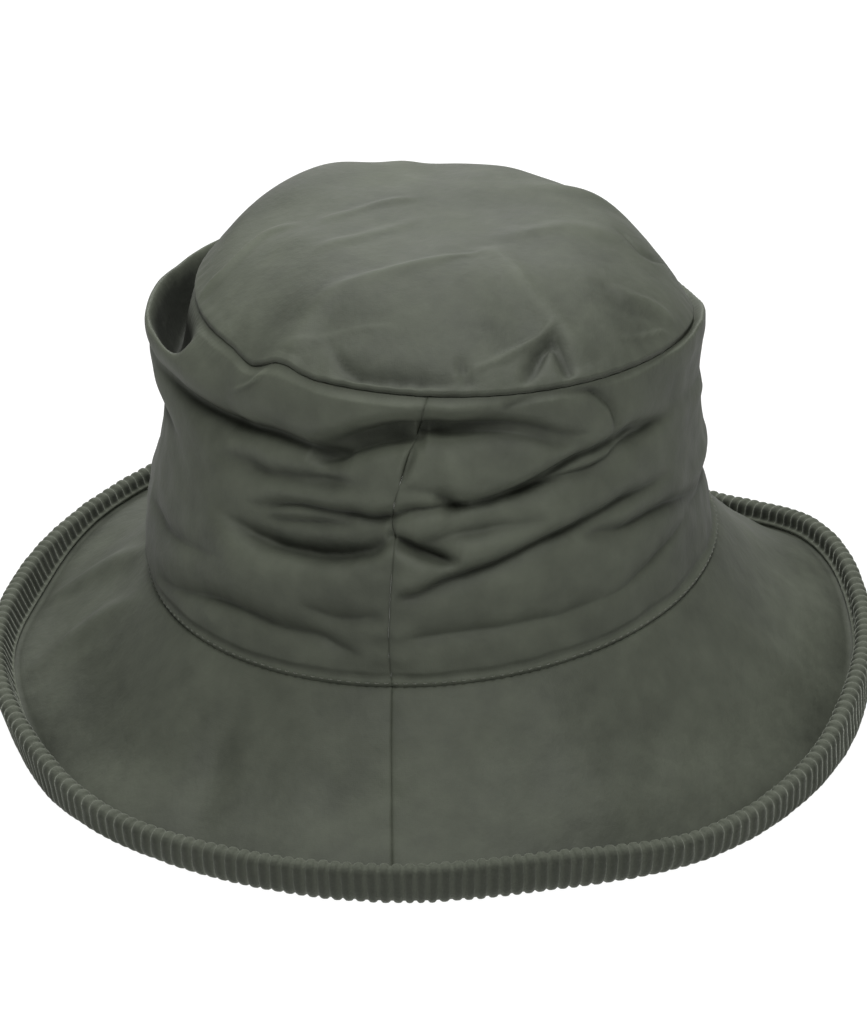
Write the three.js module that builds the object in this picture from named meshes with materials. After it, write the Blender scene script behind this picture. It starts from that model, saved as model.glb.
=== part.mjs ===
// A soft country hat in waxed cotton. Its crown is an oval tip on a side wall of two cloth halves, gathered
// into folds along the front seam. Its brim slopes down and out, in two halves as well, and turns up at the
// rim inside a corduroy binding.
//
// Millimetres. +Z is up, -Y is the front and +X the wearer's left, which is on the right seen from the front.
// The origin is on the table, under the middle of the hat. Angles are in degrees round the crown, 0 at the
// front seam and 90 at +X. A share runs up the side wall, 0 at the brim seam and 1 at the tip seam.

import * as THREE from 'three';

// Head seam, where the crown meets the brim, outside the cloth
const HEAD_WIDTH = 174;
const HEAD_LENGTH = 200;
const SEAM_HEIGHT = 46.5;
const SEAM_TILT = 4.8;

// Crown wall and tip
const CROWN_DEPTH = 84;
const TIP_WIDTH = 152;
const TIP_LENGTH = 168;
const TIP_SHIFT = 4.4;
const TIP_PITCH = 2.8;
const TIP_ROLL = 1.2;
const DOME_RISE = 23.5;
const DOME_POWER = 4.3;
const CROWN_CLOTH = 1.6;

// Brim and its turned-up rim, over the binding
const BRIM_WIDTH = 276;
const BRIM_LENGTH = 306;
const BRIM_CLOTH = 2;
const BRIM_HOLLOW = 3;
const RIM_HEIGHT = 17;
const CURL_RADIUS = 4;
const BINDING_CLOTH = 1.2;
const BINDING_TUCK = 0.6;
const REST_FLAT = 0.35;

// The gap between pieces that are sewn together
const CLEARANCE = 0.3;

// The front seam wanders with the folds: its angle at each share of the wall
const FRONT_SEAM = [
  { share: 0, deg: -2.6 },
  { share: 0.25, deg: -4 },
  { share: 0.6, deg: -5.4 },
  { share: 0.8, deg: -2.4 },
  { share: 1, deg: 0.5 },
];
const RIM_SEAM = 0;
const BACK_SEAM = 180;

// Where the wall stands out from the straight cone or sinks in, as shares of the crown's depth
const SWELLS = [
  { name: 'left_low', deg: -90, width: 55, share: 0.25, reach: 0.25, out: 0.05 },
  { name: 'front', deg: 0, width: 55, share: 0.4, reach: 0.35, out: 0.03 },
  { name: 'right_low', deg: 90, width: 40, share: 0.3, reach: 0.35, out: -0.025 },
  { name: 'back', deg: 180, width: 60, share: 0.45, reach: 0.35, out: 0.045 },
];

// Folds of the wall: each crease runs from start to end with a bow, and its depth, its reach above and below
// and the sag of the roll over it are shares of the crown's depth
const FOLDS = [
  { name: 'left_top', from: -98, to: -19, start: 0.86, end: 0.8, bow: 0, depth: 0.075, above: 0.12, below: 0.08, sag: 0.03 },
  { name: 'front_top', from: -22, to: 37, start: 0.8, end: 0.82, bow: 0.095, depth: 0.07, above: 0.08, below: 0.12, sag: 0.015 },
  { name: 'right_upper', from: 5, to: 62, start: 0.66, end: 0.77, bow: 0.045, depth: 0.05, above: 0.1, below: 0.07, sag: 0.02 },
  { name: 'front_mid', from: -36, to: 4, start: 0.57, end: 0.625, bow: 0.012, depth: 0.045, above: 0.07, below: 0.05, sag: 0.01 },
  { name: 'front_hollow', from: -43, to: -3, start: 0.5, end: 0.54, bow: -0.07, depth: 0.055, above: 0.09, below: 0.08, sag: 0.01 },
  { name: 'front_nick', from: -5, to: 10, start: 0.54, end: 0.445, bow: 0, depth: 0.045, above: 0.07, below: 0.06, sag: 0.01 },
  { name: 'right_long', from: -2, to: 56, start: 0.3, end: 0.56, bow: 0.045, depth: 0.04, above: 0.09, below: 0.07, sag: 0.015 },
  { name: 'right_side', from: 36, to: 70, start: 0.455, end: 0.425, bow: 0.01, depth: 0.035, above: 0.07, below: 0.06, sag: 0.01 },
  { name: 'right_low', from: 3, to: 37, start: 0.2, end: 0.21, bow: 0.015, depth: 0.025, above: 0.08, below: 0.06, sag: 0 },
  { name: 'left_low', from: -62, to: -12, start: 0.11, end: 0.12, bow: 0.08, depth: 0.03, above: 0.09, below: 0.06, sag: 0 },
  { name: 'left_upper', from: -36, to: -9, start: 0.67, end: 0.65, bow: 0.03, depth: 0.025, above: 0.06, below: 0.05, sag: 0 },
  { name: 'left_back', from: -158, to: -92, start: 0.46, end: 0.4, bow: 0.03, depth: 0.035, above: 0.1, below: 0.08, sag: 0 },
  { name: 'back_top', from: 150, to: 212, start: 0.74, end: 0.78, bow: 0.04, depth: 0.04, above: 0.1, below: 0.08, sag: 0 },
  { name: 'back_mid', from: 128, to: 192, start: 0.5, end: 0.56, bow: -0.03, depth: 0.035, above: 0.09, below: 0.08, sag: 0 },
  { name: 'back_low', from: 165, to: 226, start: 0.3, end: 0.24, bow: 0.02, depth: 0.03, above: 0.09, below: 0.07, sag: 0 },
  { name: 'right_back', from: 92, to: 150, start: 0.72, end: 0.64, bow: 0.03, depth: 0.035, above: 0.1, below: 0.08, sag: 0 },
];

// Shares of the wall next to a seam over which it settles there: its forms at the head seam and the tip seam,
// and its inner face. The wall's slope is taken over the last.
const HOLD_LOW = 0.06;
const HOLD_HIGH = 0.03;
const LEVEL_REACH = 0.08;
const SLOPE_REACH = 0.03;

// The wall's cloth is pushed up and out over the tip seam on the left, as a standing ridge
const RIDGE = { name: 'left_ridge', from: -211, to: -49, share: 0.8, above: 0.13, below: 0.41, out: 0.171, up: 0.065 };

// Swells and soft dents of the tip, at a share of its radius, with their rise as a share of the dome's
const TIP_FORMS = [
  { name: 'back_left_swell', deg: -134, width: 24, radius: 0.8, reach: 0.26, rise: 0.26 },
  { name: 'back_right_swell', deg: 168, width: 14, radius: 0.72, reach: 0.24, rise: 0.08 },
  { name: 'front_pleat', deg: 24, width: 10, radius: 0.8, reach: 0.14, rise: -0.1 },
  { name: 'front_left', deg: -26, width: 22, radius: 0.86, reach: 0.1, rise: -0.08 },
  { name: 'left_slope', deg: -80, width: 24, radius: 0.75, reach: 0.2, rise: -0.1 },
];

// Where the tip seam hangs under its plane or stands out of its oval, as shares of the crown's depth
const TIP_SEAM_FORMS = [
  { name: 'right_back', deg: 108, width: 26, drop: 0.075, out: -0.04 },
  { name: 'left_back', deg: -140, width: 30, drop: 0, out: 0.063 },
];

// The turned-up rim at equal steps round the brim: how many degrees it leans out, and the height of its top, its
// lift off the table and its reach past the brim's oval as shares of the rim's height
const RIM_PLACES = [
  { deg: -160, lean: 22, top: 0.975, lift: 0.247, reach: 0.122 },
  { deg: -140, lean: 24, top: 1.177, lift: 0.635, reach: 0.228 },
  { deg: -120, lean: 25, top: 1.162, lift: 0.663, reach: 0.05 },
  { deg: -100, lean: 25, top: 1.135, lift: 0.419, reach: -0.044 },
  { deg: -80, lean: 22, top: 1.088, lift: 0.388, reach: 0 },
  { deg: -60, lean: 15, top: 1.011, lift: -0.01, reach: -0.026 },
  { deg: -40, lean: 7, top: 0.86, lift: 0.201, reach: 0.065 },
  { deg: -20, lean: 5, top: 0.952, lift: 0.253, reach: 0.018 },
  { deg: 0, lean: 5, top: 1.039, lift: 0.272, reach: -0.036 },
  { deg: 20, lean: 4, top: 1.074, lift: 0.3, reach: -0.108 },
  { deg: 40, lean: 3, top: 0.807, lift: 0.168, reach: 0.031 },
  { deg: 60, lean: -1, top: 0.818, lift: 0.044, reach: -0.081 },
  { deg: 80, lean: -5, top: 1.014, lift: 0, reach: -0.169 },
  { deg: 100, lean: -4, top: 1.06, lift: 0.411, reach: -0.005 },
  { deg: 120, lean: 0, top: 1.133, lift: 0.596, reach: 0.148 },
  { deg: 140, lean: 6, top: 0.695, lift: 0.16, reach: -0.125 },
  { deg: 160, lean: 13, top: 0.559, lift: 0, reach: -0.141 },
  { deg: 180, lean: 18, top: 0.709, lift: 0, reach: -0.026 },
];

// Soft waves of the brim between its seam and rim, as shares of the brim's fall
const BRIM_WAVES = [
  { name: 'left_ridge', deg: -98, width: 12, lift: 0.045 },
  { name: 'left_valley', deg: -80, width: 14, lift: -0.03 },
  { name: 'front_left', deg: -30, width: 10, lift: -0.03 },
  { name: 'front_right', deg: 28, width: 14, lift: 0.035 },
  { name: 'right_ridge', deg: 84, width: 16, lift: 0.03 },
  { name: 'back', deg: 170, width: 26, lift: 0.03 },
];

// Facets: steps round each half and up the wall, rings of the tip, steps of the brim's slope
const WALL_STEPS = 33;
const WALL_ROWS = 21;
const TIP_STEPS = 60;
const TIP_RINGS = 5;
const HALF_BRIM_STEPS = 30;
const SLOPE_STEPS = 3;
const FLAT_TURN = 12;

const WAXED_COTTON = new THREE.MeshStandardMaterial({ color: 0x565a4f, roughness: 0.72, metalness: 0 });
const CORDUROY = new THREE.MeshStandardMaterial({ color: 0x454840, roughness: 0.95, metalness: 0 });

const { lerp, clamp, degToRad, smoothstep } = THREE.MathUtils;

// A turn between two angles, from -180 up to 180
function turnBetween(from, to) {
  return THREE.MathUtils.euclideanModulo(to - from + 180, 360) - 180;
}

// A rounded hill, 1 in the middle and small one width away
function hill(offset, width) {
  return Math.exp(-((offset / width) ** 2));
}

// A point on the oval of a width and a length, at an angle
function oval(width, length, deg) {
  const turn = degToRad(deg);
  return new THREE.Vector3(0.5 * width * Math.sin(turn), -0.5 * length * Math.cos(turn), 0);
}

// The way straight out of the head seam's oval, level
function outward(deg) {
  const turn = degToRad(deg);
  return new THREE.Vector3(Math.sin(turn) / HEAD_WIDTH, -Math.cos(turn) / HEAD_LENGTH, 0).normalize();
}

// The head seam: an oval that is higher on the right
function headSeam(deg) {
  const point = oval(HEAD_WIDTH, HEAD_LENGTH, deg);
  point.z = SEAM_HEIGHT + SEAM_TILT * Math.sin(degToRad(deg));
  return point;
}

// The tip seam's plane at a share of the tip's radius, with the forms of the seam
function tipPlane(deg, radius) {
  const turn = degToRad(deg);
  const point = oval(TIP_WIDTH * radius, TIP_LENGTH * radius, deg);
  point.x += TIP_SHIFT;
  point.z = SEAM_HEIGHT + CROWN_DEPTH + radius * (TIP_PITCH * Math.cos(turn) - TIP_ROLL * Math.sin(turn));
  for (const form of TIP_SEAM_FORMS) {
    const amount = CROWN_DEPTH * hill(turnBetween(form.deg, deg), form.width) * radius ** DOME_POWER;
    point.addScaledVector(outward(deg), form.out * amount);
    point.z -= form.drop * amount;
  }
  return point;
}

// The front seam's angle at a share of the wall, in straight stretches
function frontSeam(share) {
  const next = clamp(FRONT_SEAM.findIndex((row) => row.share >= share), 1, FRONT_SEAM.length - 1);
  const [low, high] = [FRONT_SEAM[next - 1], FRONT_SEAM[next]];
  return lerp(low.deg, high.deg, (share - low.share) / (high.share - low.share));
}

// One fold at a place on the wall: how far it moves the cloth out and up, in shares of the crown's depth. The
// crease is sharp, and the cloth comes back to the wall in a quarter wave above and below it.
function foldShift(fold, deg, share) {
  const along = 0.5 + turnBetween((fold.from + fold.to) / 2, deg) / (fold.to - fold.from);
  if (along <= 0 || along >= 1) return { out: 0, up: 0 };
  const crease = lerp(fold.start, fold.end, along) + fold.bow * 4 * along * (1 - along);
  const away = (share - crease) / (share > crease ? fold.above : fold.below);
  if (Math.abs(away) >= 1) return { out: 0, up: 0 };
  const fade = Math.sqrt(Math.sin(Math.PI * along));
  return {
    out: -fold.depth * fade * (1 - Math.sin(0.5 * Math.PI * Math.abs(away))),
    up: -fold.sag * fade * Math.max(0, Math.sin(Math.PI * away)),
  };
}

// The standing ridge at a place on the wall: a half wave round the crown, up to its crest and down to the seam
function ridgeShift(deg, share) {
  const along = 0.5 + turnBetween((RIDGE.from + RIDGE.to) / 2, deg) / (RIDGE.to - RIDGE.from);
  if (along <= 0 || along >= 1) return { out: 0, up: 0 };
  const away = Math.abs(share - RIDGE.share) / (share > RIDGE.share ? RIDGE.above : RIDGE.below);
  const height = Math.sin(Math.PI * along) ** 0.7 * (1 - smoothstep(away, 0, 1));
  return { out: RIDGE.out * height, up: RIDGE.up * height };
}

// The crown wall's outer face: a straight line from the head seam to the tip seam, with the swells, the folds
// and the ridge on it, all held still at the two seams
function wallPoint(deg, share) {
  const point = headSeam(deg).lerp(tipPlane(deg, 1), share);
  const hold = smoothstep(share, 0, HOLD_LOW) * smoothstep(1 - share, 0, HOLD_HIGH);
  const shift = { out: 0, up: 0 };
  for (const swell of SWELLS) {
    const round = hill(turnBetween(swell.deg, deg), swell.width);
    shift.out += swell.out * round * hill(share - swell.share, swell.reach);
  }
  for (const move of [...FOLDS.map((fold) => foldShift(fold, deg, share)), ridgeShift(deg, share)]) {
    shift.out += move.out;
    shift.up += move.up;
  }
  point.addScaledVector(outward(deg), hold * shift.out * CROWN_DEPTH);
  point.z += hold * shift.up * CROWN_DEPTH;
  return point;
}

// The wall's inner face: one cloth in from the outer face, square to it in the upright plane that faces out at
// the angle. It is level at the head seam, and never higher than the outer face next to the tip seam.
function wallInside(deg, share) {
  const above = wallPoint(deg, Math.min(1, share + SLOPE_REACH));
  const up = above.sub(wallPoint(deg, Math.max(0, share - SLOPE_REACH)));
  const out = outward(deg);
  const lean = -up.dot(out) * smoothstep(share, 0, LEVEL_REACH);
  const rise = share > 1 - LEVEL_REACH ? Math.max(0, lean) : lean;
  const way = out.clone().multiplyScalar(up.z).setZ(rise).normalize();
  return wallPoint(deg, share).addScaledVector(way, -CROWN_CLOTH);
}

// The tip's height over the plane of its seam: a flat-topped dome with its swells and dents
function domeHeight(deg, radius) {
  let height = 1 - radius ** DOME_POWER;
  for (const form of TIP_FORMS) {
    const round = hill(turnBetween(form.deg, deg), form.width);
    const hold = smoothstep(1 - radius, 0, 0.15) * smoothstep(radius, 0, 0.3);
    height += form.rise * round * hill(radius - form.radius, form.reach) * hold;
  }
  return CLEARANCE + CROWN_CLOTH + (DOME_RISE - CROWN_CLOTH - CLEARANCE) * height;
}

// The rim at an angle, on cubic pieces through its places: how far it leans out, how high its top stands, how
// far its curl lifts and how far it reaches past the oval
function rimShape(deg) {
  const steps = RIM_PLACES.length;
  const along = ((turnBetween(RIM_PLACES[0].deg, deg) + 360) % 360) * (steps / 360);
  const first = Math.floor(along);
  const part = along - first;
  const curve = (key) => {
    const [before, low, high, after] = [-1, 0, 1, 2].map((k) => RIM_PLACES[(first + k + steps) % steps][key]);
    const [slopeLow, slopeHigh] = [(high - before) / 2, (after - low) / 2];
    const rest = 1 - part;
    return low * (1 + 2 * part) * rest ** 2 + slopeLow * part * rest ** 2
      + high * part ** 2 * (3 - 2 * part) - slopeHigh * part ** 2 * rest;
  };
  return {
    lean: degToRad(curve('lean')),
    top: RIM_HEIGHT * curve('top'),
    lift: RIM_HEIGHT * curve('lift'),
    reach: RIM_HEIGHT * curve('reach'),
  };
}

// The brim's middle line in the upright plane at an angle, as points with the way across the cloth, under side
// first. It runs out level under the wall, slopes down, turns up round the curl and ends in the rim.
function brimLine(deg) {
  const skin = BRIM_CLOTH / 2 + CLEARANCE + BINDING_CLOTH;
  const inner = headSeam(deg);
  const outer = oval(BRIM_WIDTH, BRIM_LENGTH, deg);
  const rim = rimShape(deg);
  const width = Math.hypot(outer.x - inner.x, outer.y - inner.y) + rim.reach;
  const start = new THREE.Vector2(0, inner.z - CLEARANCE - BRIM_CLOTH / 2);
  const upward = new THREE.Vector2(Math.sin(rim.lean), Math.cos(rim.lean));
  const across = new THREE.Vector2(Math.cos(rim.lean), -Math.sin(rim.lean));
  const end = new THREE.Vector2(width - skin * across.x, rim.top - skin);
  const hub = new THREE.Vector2(0, CURL_RADIUS + skin - REST_FLAT + rim.lift);
  const turned = hub.y + CURL_RADIUS * across.y;
  end.y = Math.max(end.y, turned + BINDING_CLOTH * upward.y);
  const stand = (end.y - turned) / upward.y;
  hub.x = end.x - stand * upward.x - CURL_RADIUS * across.x;
  const toHub = hub.clone().sub(start);
  const fall = Math.atan2(-toHub.y, toHub.x) + Math.asin(CURL_RADIUS / toHub.length());
  const under = new THREE.Vector2(-Math.sin(fall), -Math.cos(fall));
  const touch = hub.clone().addScaledVector(under, CURL_RADIUS);
  return { start, end, hub, fall, under, touch, upward, across, lean: rim.lean };
}

// The curl's point where the line runs at an angle over the level
function curlPoint(line, rise) {
  const across = new THREE.Vector2(Math.sin(rise), -Math.cos(rise));
  return { at: line.hub.clone().addScaledVector(across, CURL_RADIUS), across };
}

// The brim's stations: the level lap under the wall, the slope, the curl and the rim's top edge
function brimStations(deg) {
  const line = brimLine(deg);
  const level = new THREE.Vector2(0, -1);
  const corner = level.clone().add(line.under).normalize();
  corner.multiplyScalar(1 / corner.dot(level));
  const stations = [
    { at: line.start.clone().add(new THREE.Vector2(-CROWN_CLOTH, 0)), across: level },
    { at: line.start, across: corner },
  ];
  const wave = BRIM_WAVES.reduce((sum, row) => sum + row.lift * hill(turnBetween(row.deg, deg), row.width), 0);
  for (let step = 1; step < SLOPE_STEPS; step += 1) {
    const part = step / SLOPE_STEPS;
    const arch = Math.sin(Math.PI * part);
    const at = line.start.clone().lerp(line.touch, part);
    at.addScaledVector(line.under, (BRIM_HOLLOW - wave * line.start.y) * arch);
    stations.push({ at, across: line.under });
  }
  const turns = [-line.fall, -degToRad(FLAT_TURN), degToRad(FLAT_TURN), Math.PI / 2 - line.lean];
  for (const turn of turns) stations.push(curlPoint(line, turn));
  stations.push({ at: line.end, across: line.across });
  return stations;
}

// A point of an upright plane at an angle, set out from the head seam towards the rim's oval, and never under
// the table
function placeInPlane(deg, flat) {
  const inner = headSeam(deg);
  const way = oval(BRIM_WIDTH, BRIM_LENGTH, deg).setZ(0).sub(inner.clone().setZ(0)).normalize();
  return new THREE.Vector3(inner.x + way.x * flat.x, inner.y + way.y * flat.x, Math.max(0, flat.y));
}

// A closed body from columns of paired outer and inner points: the two faces, the two long edges and, where
// the columns don't go all the way round, the two ends. Crossed splits each four-sided face along its other
// diagonal, so that two shells that lie against each other are split alike.
function shell(name, columns, material, { closed = false, crossed = false } = {}) {
  const positions = [];
  const known = new Map();
  const indices = [];
  const number = (point) => {
    const key = point.toArray().map((value) => Math.round(value * 1e4)).join(' ');
    if (!known.has(key)) {
      known.set(key, known.size);
      positions.push(...point.toArray());
    }
    return known.get(key);
  };
  const face = (a, b, c) => {
    const corners = [number(a), number(b), number(c)];
    if (new Set(corners).size === 3) indices.push(...corners);
  };
  const quad = (a, b, c, d) => {
    face(...(crossed ? [a, b, d] : [a, b, c]));
    face(...(crossed ? [b, c, d] : [a, c, d]));
  };
  const last = columns[0].outer.length - 1;
  columns.forEach((column, index) => {
    if (index === columns.length - 1 && !closed) return;
    const next = columns[(index + 1) % columns.length];
    for (let row = 0; row < last; row += 1) {
      quad(column.outer[row], next.outer[row], next.outer[row + 1], column.outer[row + 1]);
      quad(column.inner[row + 1], next.inner[row + 1], next.inner[row], column.inner[row]);
    }
    quad(column.inner[0], next.inner[0], next.outer[0], column.outer[0]);
    quad(column.outer[last], next.outer[last], next.inner[last], column.inner[last]);
  });
  if (!closed) {
    for (const [column, first] of [[columns[0], true], [columns.at(-1), false]]) {
      for (let row = 0; row < last; row += 1) {
        const ends = [column.outer[row], column.outer[row + 1], column.inner[row + 1], column.inner[row]];
        quad(...(first ? ends : ends.reverse()));
      }
    }
  }
  const geometry = new THREE.BufferGeometry();
  geometry.setAttribute('position', new THREE.Float32BufferAttribute(positions, 3));
  geometry.setIndex(indices);
  geometry.computeVertexNormals();
  const mesh = new THREE.Mesh(geometry, material);
  mesh.name = name;
  return mesh;
}

// The angle a part of the way round one half, from its front seam to the back seam, half a clearance clear of
// each; side is 1 for the right half and -1 for the left
function halfAngle(side, seam, part, radius) {
  const gap = THREE.MathUtils.radToDeg(CLEARANCE / 2 / radius);
  return lerp(seam + side * gap, side * (BACK_SEAM - gap), part);
}

// One half of the crown wall
function crownSide(name, side) {
  const columns = [];
  for (let step = 0; step <= WALL_STEPS; step += 1) {
    const column = { outer: [], inner: [] };
    for (let row = 0; row <= WALL_ROWS; row += 1) {
      const share = row / WALL_ROWS;
      const deg = halfAngle(side, frontSeam(share), step / WALL_STEPS, TIP_WIDTH / 2);
      column.outer.push(wallPoint(deg, share));
      column.inner.push(wallInside(deg, share));
    }
    columns.push(column);
  }
  return shell(name, side > 0 ? columns : columns.reverse(), WAXED_COTTON);
}

// The oval tip, its rim standing on the wall's upper edge
function crownTip(name) {
  const columns = [];
  for (let step = 0; step < TIP_STEPS; step += 1) {
    const deg = (360 * step) / TIP_STEPS;
    const column = { outer: [], inner: [] };
    for (let ring = 0; ring <= TIP_RINGS; ring += 1) {
      const radius = Math.sin((0.5 * Math.PI * (TIP_RINGS - ring)) / TIP_RINGS);
      const outer = tipPlane(deg, radius);
      outer.z += domeHeight(deg, radius);
      column.outer.push(outer);
      column.inner.push(outer.clone().setZ(outer.z - CROWN_CLOTH));
    }
    columns.push(column);
  }
  return shell(name, columns, WAXED_COTTON, { closed: true });
}

// One half of the brim
function brimHalf(name, side) {
  const columns = [];
  const places = brimStations(RIM_SEAM).length;
  for (let step = 0; step <= HALF_BRIM_STEPS; step += 1) {
    const column = { outer: [], inner: [] };
    for (let place = 0; place < places; place += 1) {
      const slope = clamp((place - 1) / SLOPE_STEPS, 0, 1);
      const seam = lerp(frontSeam(0), RIM_SEAM, slope);
      const deg = halfAngle(side, seam, step / HALF_BRIM_STEPS, HEAD_WIDTH / 2);
      const { at, across } = brimStations(deg)[place];
      const under = at.clone().addScaledVector(across, BRIM_CLOTH / 2);
      const upper = at.clone().addScaledVector(across, -BRIM_CLOTH / 2);
      column.outer.push(placeInPlane(deg, upper));
      column.inner.push(placeInPlane(deg, under));
    }
    columns.push(column);
  }
  return shell(name, side > 0 ? columns.reverse() : columns, WAXED_COTTON);
}

// The binding's section at an angle, folded over the rim: up its outer side from under the curl, over the top
// edge and down the inner side into the curl
function bindingSection(deg) {
  const line = brimLine(deg);
  const near = BRIM_CLOTH / 2 + CLEARANCE;
  const far = near + BINDING_CLOTH;
  const pairs = [];
  const pair = ({ at, across }, side) => {
    pairs.push([near, far].map((reach) => at.clone().addScaledVector(across, side * reach)));
  };
  const upright = Math.PI / 2 - line.lean;
  const below = { at: line.end.clone().addScaledVector(line.upward, -BRIM_CLOTH / 2), across: line.across };
  for (const turn of [-BINDING_TUCK * line.fall, -degToRad(FLAT_TURN), degToRad(FLAT_TURN), upright]) {
    pair(curlPoint(line, turn), 1);
  }
  pair(below, 1);
  for (const side of [1, -1]) {
    const corner = line.end.clone().addScaledVector(line.upward, CLEARANCE).addScaledVector(line.across, side * near);
    const round = line.upward.clone().addScaledVector(line.across, side).normalize();
    pairs.push([corner, line.end.clone().addScaledVector(round, far)]);
  }
  pair(below, -1);
  pair(curlPoint(line, upright), -1);
  pair(curlPoint(line, degToRad(FLAT_TURN)), -1);
  return pairs;
}

// The corduroy binding, one ring round the whole rim
function brimBinding(name) {
  const columns = [];
  for (let step = 0; step < 2 * HALF_BRIM_STEPS; step += 1) {
    const deg = (BACK_SEAM * step) / HALF_BRIM_STEPS;
    const pairs = bindingSection(deg);
    columns.push({
      outer: pairs.map(([, far]) => placeInPlane(deg, far)),
      inner: pairs.map(([near]) => placeInPlane(deg, near)),
    });
  }
  return shell(name, columns, CORDUROY, { closed: true, crossed: true });
}

const hat = new THREE.Group();
hat.name = 'country_hat';
hat.add(crownTip('crown_tip'));
hat.add(crownSide('crown_side_left', -1));
hat.add(crownSide('crown_side_right', 1));
hat.add(brimHalf('brim_left', -1));
hat.add(brimHalf('brim_right', 1));
hat.add(brimBinding('brim_binding'));

export default hat;
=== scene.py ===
"""The country hat: waxed cotton with a wide corduroy binding round the rim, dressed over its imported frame.

Sizes are in millimetres and angles in degrees. An angle round the hat starts at the front, -Y, and grows
towards +X. The crown wall is drawn on a chart of angle and share, 0 at the head seam and 1 at the tip seam.
"""

from collections import namedtuple

import bpy
import numpy as np
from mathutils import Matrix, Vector


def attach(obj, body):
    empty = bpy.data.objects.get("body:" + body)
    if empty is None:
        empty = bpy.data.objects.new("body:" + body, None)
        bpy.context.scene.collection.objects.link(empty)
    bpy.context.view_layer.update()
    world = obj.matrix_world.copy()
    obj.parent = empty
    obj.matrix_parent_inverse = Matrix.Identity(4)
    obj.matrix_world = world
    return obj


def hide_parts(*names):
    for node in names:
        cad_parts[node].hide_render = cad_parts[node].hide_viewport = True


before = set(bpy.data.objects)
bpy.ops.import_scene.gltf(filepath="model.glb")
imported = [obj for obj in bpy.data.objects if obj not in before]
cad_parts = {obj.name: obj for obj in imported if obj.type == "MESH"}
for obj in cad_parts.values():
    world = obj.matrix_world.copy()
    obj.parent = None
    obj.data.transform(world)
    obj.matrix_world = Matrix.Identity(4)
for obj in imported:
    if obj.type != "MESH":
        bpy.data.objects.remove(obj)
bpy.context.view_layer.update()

MM = 0.001

# Sizes shared with the solid part

HEAD_WIDTH = 174
HEAD_LENGTH = 200
SEAM_HEIGHT = 46.5
SEAM_LIFT = 1.7
SEAM_TILT = 4.8
CROWN_DEPTH = 84
TIP_WIDTH = 152
TIP_LENGTH = 168
TIP_SHIFT = 4.4
TIP_PITCH = 2.8
TIP_ROLL = 1.2
DOME_RISE = 23.5
DOME_POWER = 4.3
CROWN_CLOTH = 1.6
BRIM_WIDTH = 276
BRIM_LENGTH = 306
BRIM_CLOTH = 2
BRIM_HOLLOW = 3
RIM_HEIGHT = 17
CURL_RADIUS = 4
BINDING_CLOTH = 1.2
BINDING_TUCK = 0.6
INNER_EDGE = np.radians(12)
BINDING_END = 1.5
LAP_TURN = 0.04
REST_FLAT = 0.35
CLEARANCE = 0.3
HOLD_LOW = 0.06
HOLD_HIGH = 0.03
LEVEL_LOW = 0.05
LEVEL_HIGH = 0.03
BACK_SEAM = 180

# The crown's front seam: its angle at shares of the wall
FRONT_SEAM = ((0, -2.6), (0.115, -3.5), (0.325, -4), (0.53, -4.5), (0.595, -5.5), (0.63, -5), (0.77, -3),
              (0.885, -1.5), (0.945, -0.5), (1, 0.5))

# Broad swells of the wall: angle, width, share, reach, way out as a share of the crown's depth
SWELLS = (
    (-90, 55, 0.25, 0.25, 0.05),
    (0, 55, 0.4, 0.35, 0.03),
    (90, 40, 0.3, 0.35, -0.025),
    (180, 60, 0.45, 0.35, 0.045),
    (84, 16, 0.72, 0.05, 0.014),
    (84, 16, 0.42, 0.05, 0.014),
)

# The standing ridge on the left: its size at angles round the hat. Its section has shares of the wall, then
# mm out and up. Behind its lip the cloth drops into a valley, which starts between two angles at the side.
RIDGE_SIZES = ((-211, 0), (-190, 0.5), (-170, 0.8), (-150, 0.95), (-130, 0.85), (-120, 0.8), (-110, 0.82),
               (-100, 0.93), (-90, 0.97), (-80, 0.86), (-70, 0.62), (-60, 0.4), (-49, 0))
RIDGE_SECTION = ((0.40, 0, 0), (0.55, 2.4, 0.8), (0.68, 8, 3.4), (0.78, 12.4, 6), (0.835, 12.4, 7.4),
                 (0.87, 10.4, 6.2), (0.92, 6.8, 3.6), (0.965, 2.8, 1.2), (1, 0, 0))
VALLEY_SECTION = ((0.835, 0, 0), (0.85, -0.4, -0.8), (0.87, -1, -6.5), (0.89, -1.6, -15), (0.91, -1.8, -21),
                  (0.93, -2, -21.5), (0.95, -2, -15), (0.97, -1.4, -6.5), (0.985, -0.6, -2), (1, 0, 0))
VALLEY_STARTS = (-63, -73)

# The shoulder on the right, which rolls over the tip seam: its angle and width, and its section
SHOULDER = (90, 26)
SHOULDER_SECTION = ((0.78, 0, 0), (0.88, 1.6, 1), (0.93, 3, 3), (0.965, 2.8, 4.4), (0.985, 1.4, 2.6),
                    (1, 0, 0))

# Swells and dents of the tip: angle, width, radius, reach, rise as a share of the dome's
TIP_FORMS = (
    (-134, 24, 0.8, 0.26, 0.26),
    (-104, 14, 0.9, 0.12, 0.09),
    (168, 14, 0.72, 0.24, 0.08),
    (24, 10, 0.8, 0.14, -0.1),
    (-26, 22, 0.86, 0.1, -0.08),
    (-80, 24, 0.75, 0.2, -0.1),
    (2, 26, 0.5, 0.22, 0.06),
)

# Drops and swells of the tip seam: angle, width, drop and way out as shares of the crown's depth
TIP_SEAM_FORMS = (
    (108, 26, 0.075, -0.04),
    (-140, 30, 0, 0.063),
)

# Small kinks of the tip seam, held close to it: angle, width, drop in mm
TIP_SEAM_KINKS = (
    (-44, 5, 2.6),
    (-34, 5, -2.2),
)
KINK_POWER = 10

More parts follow.
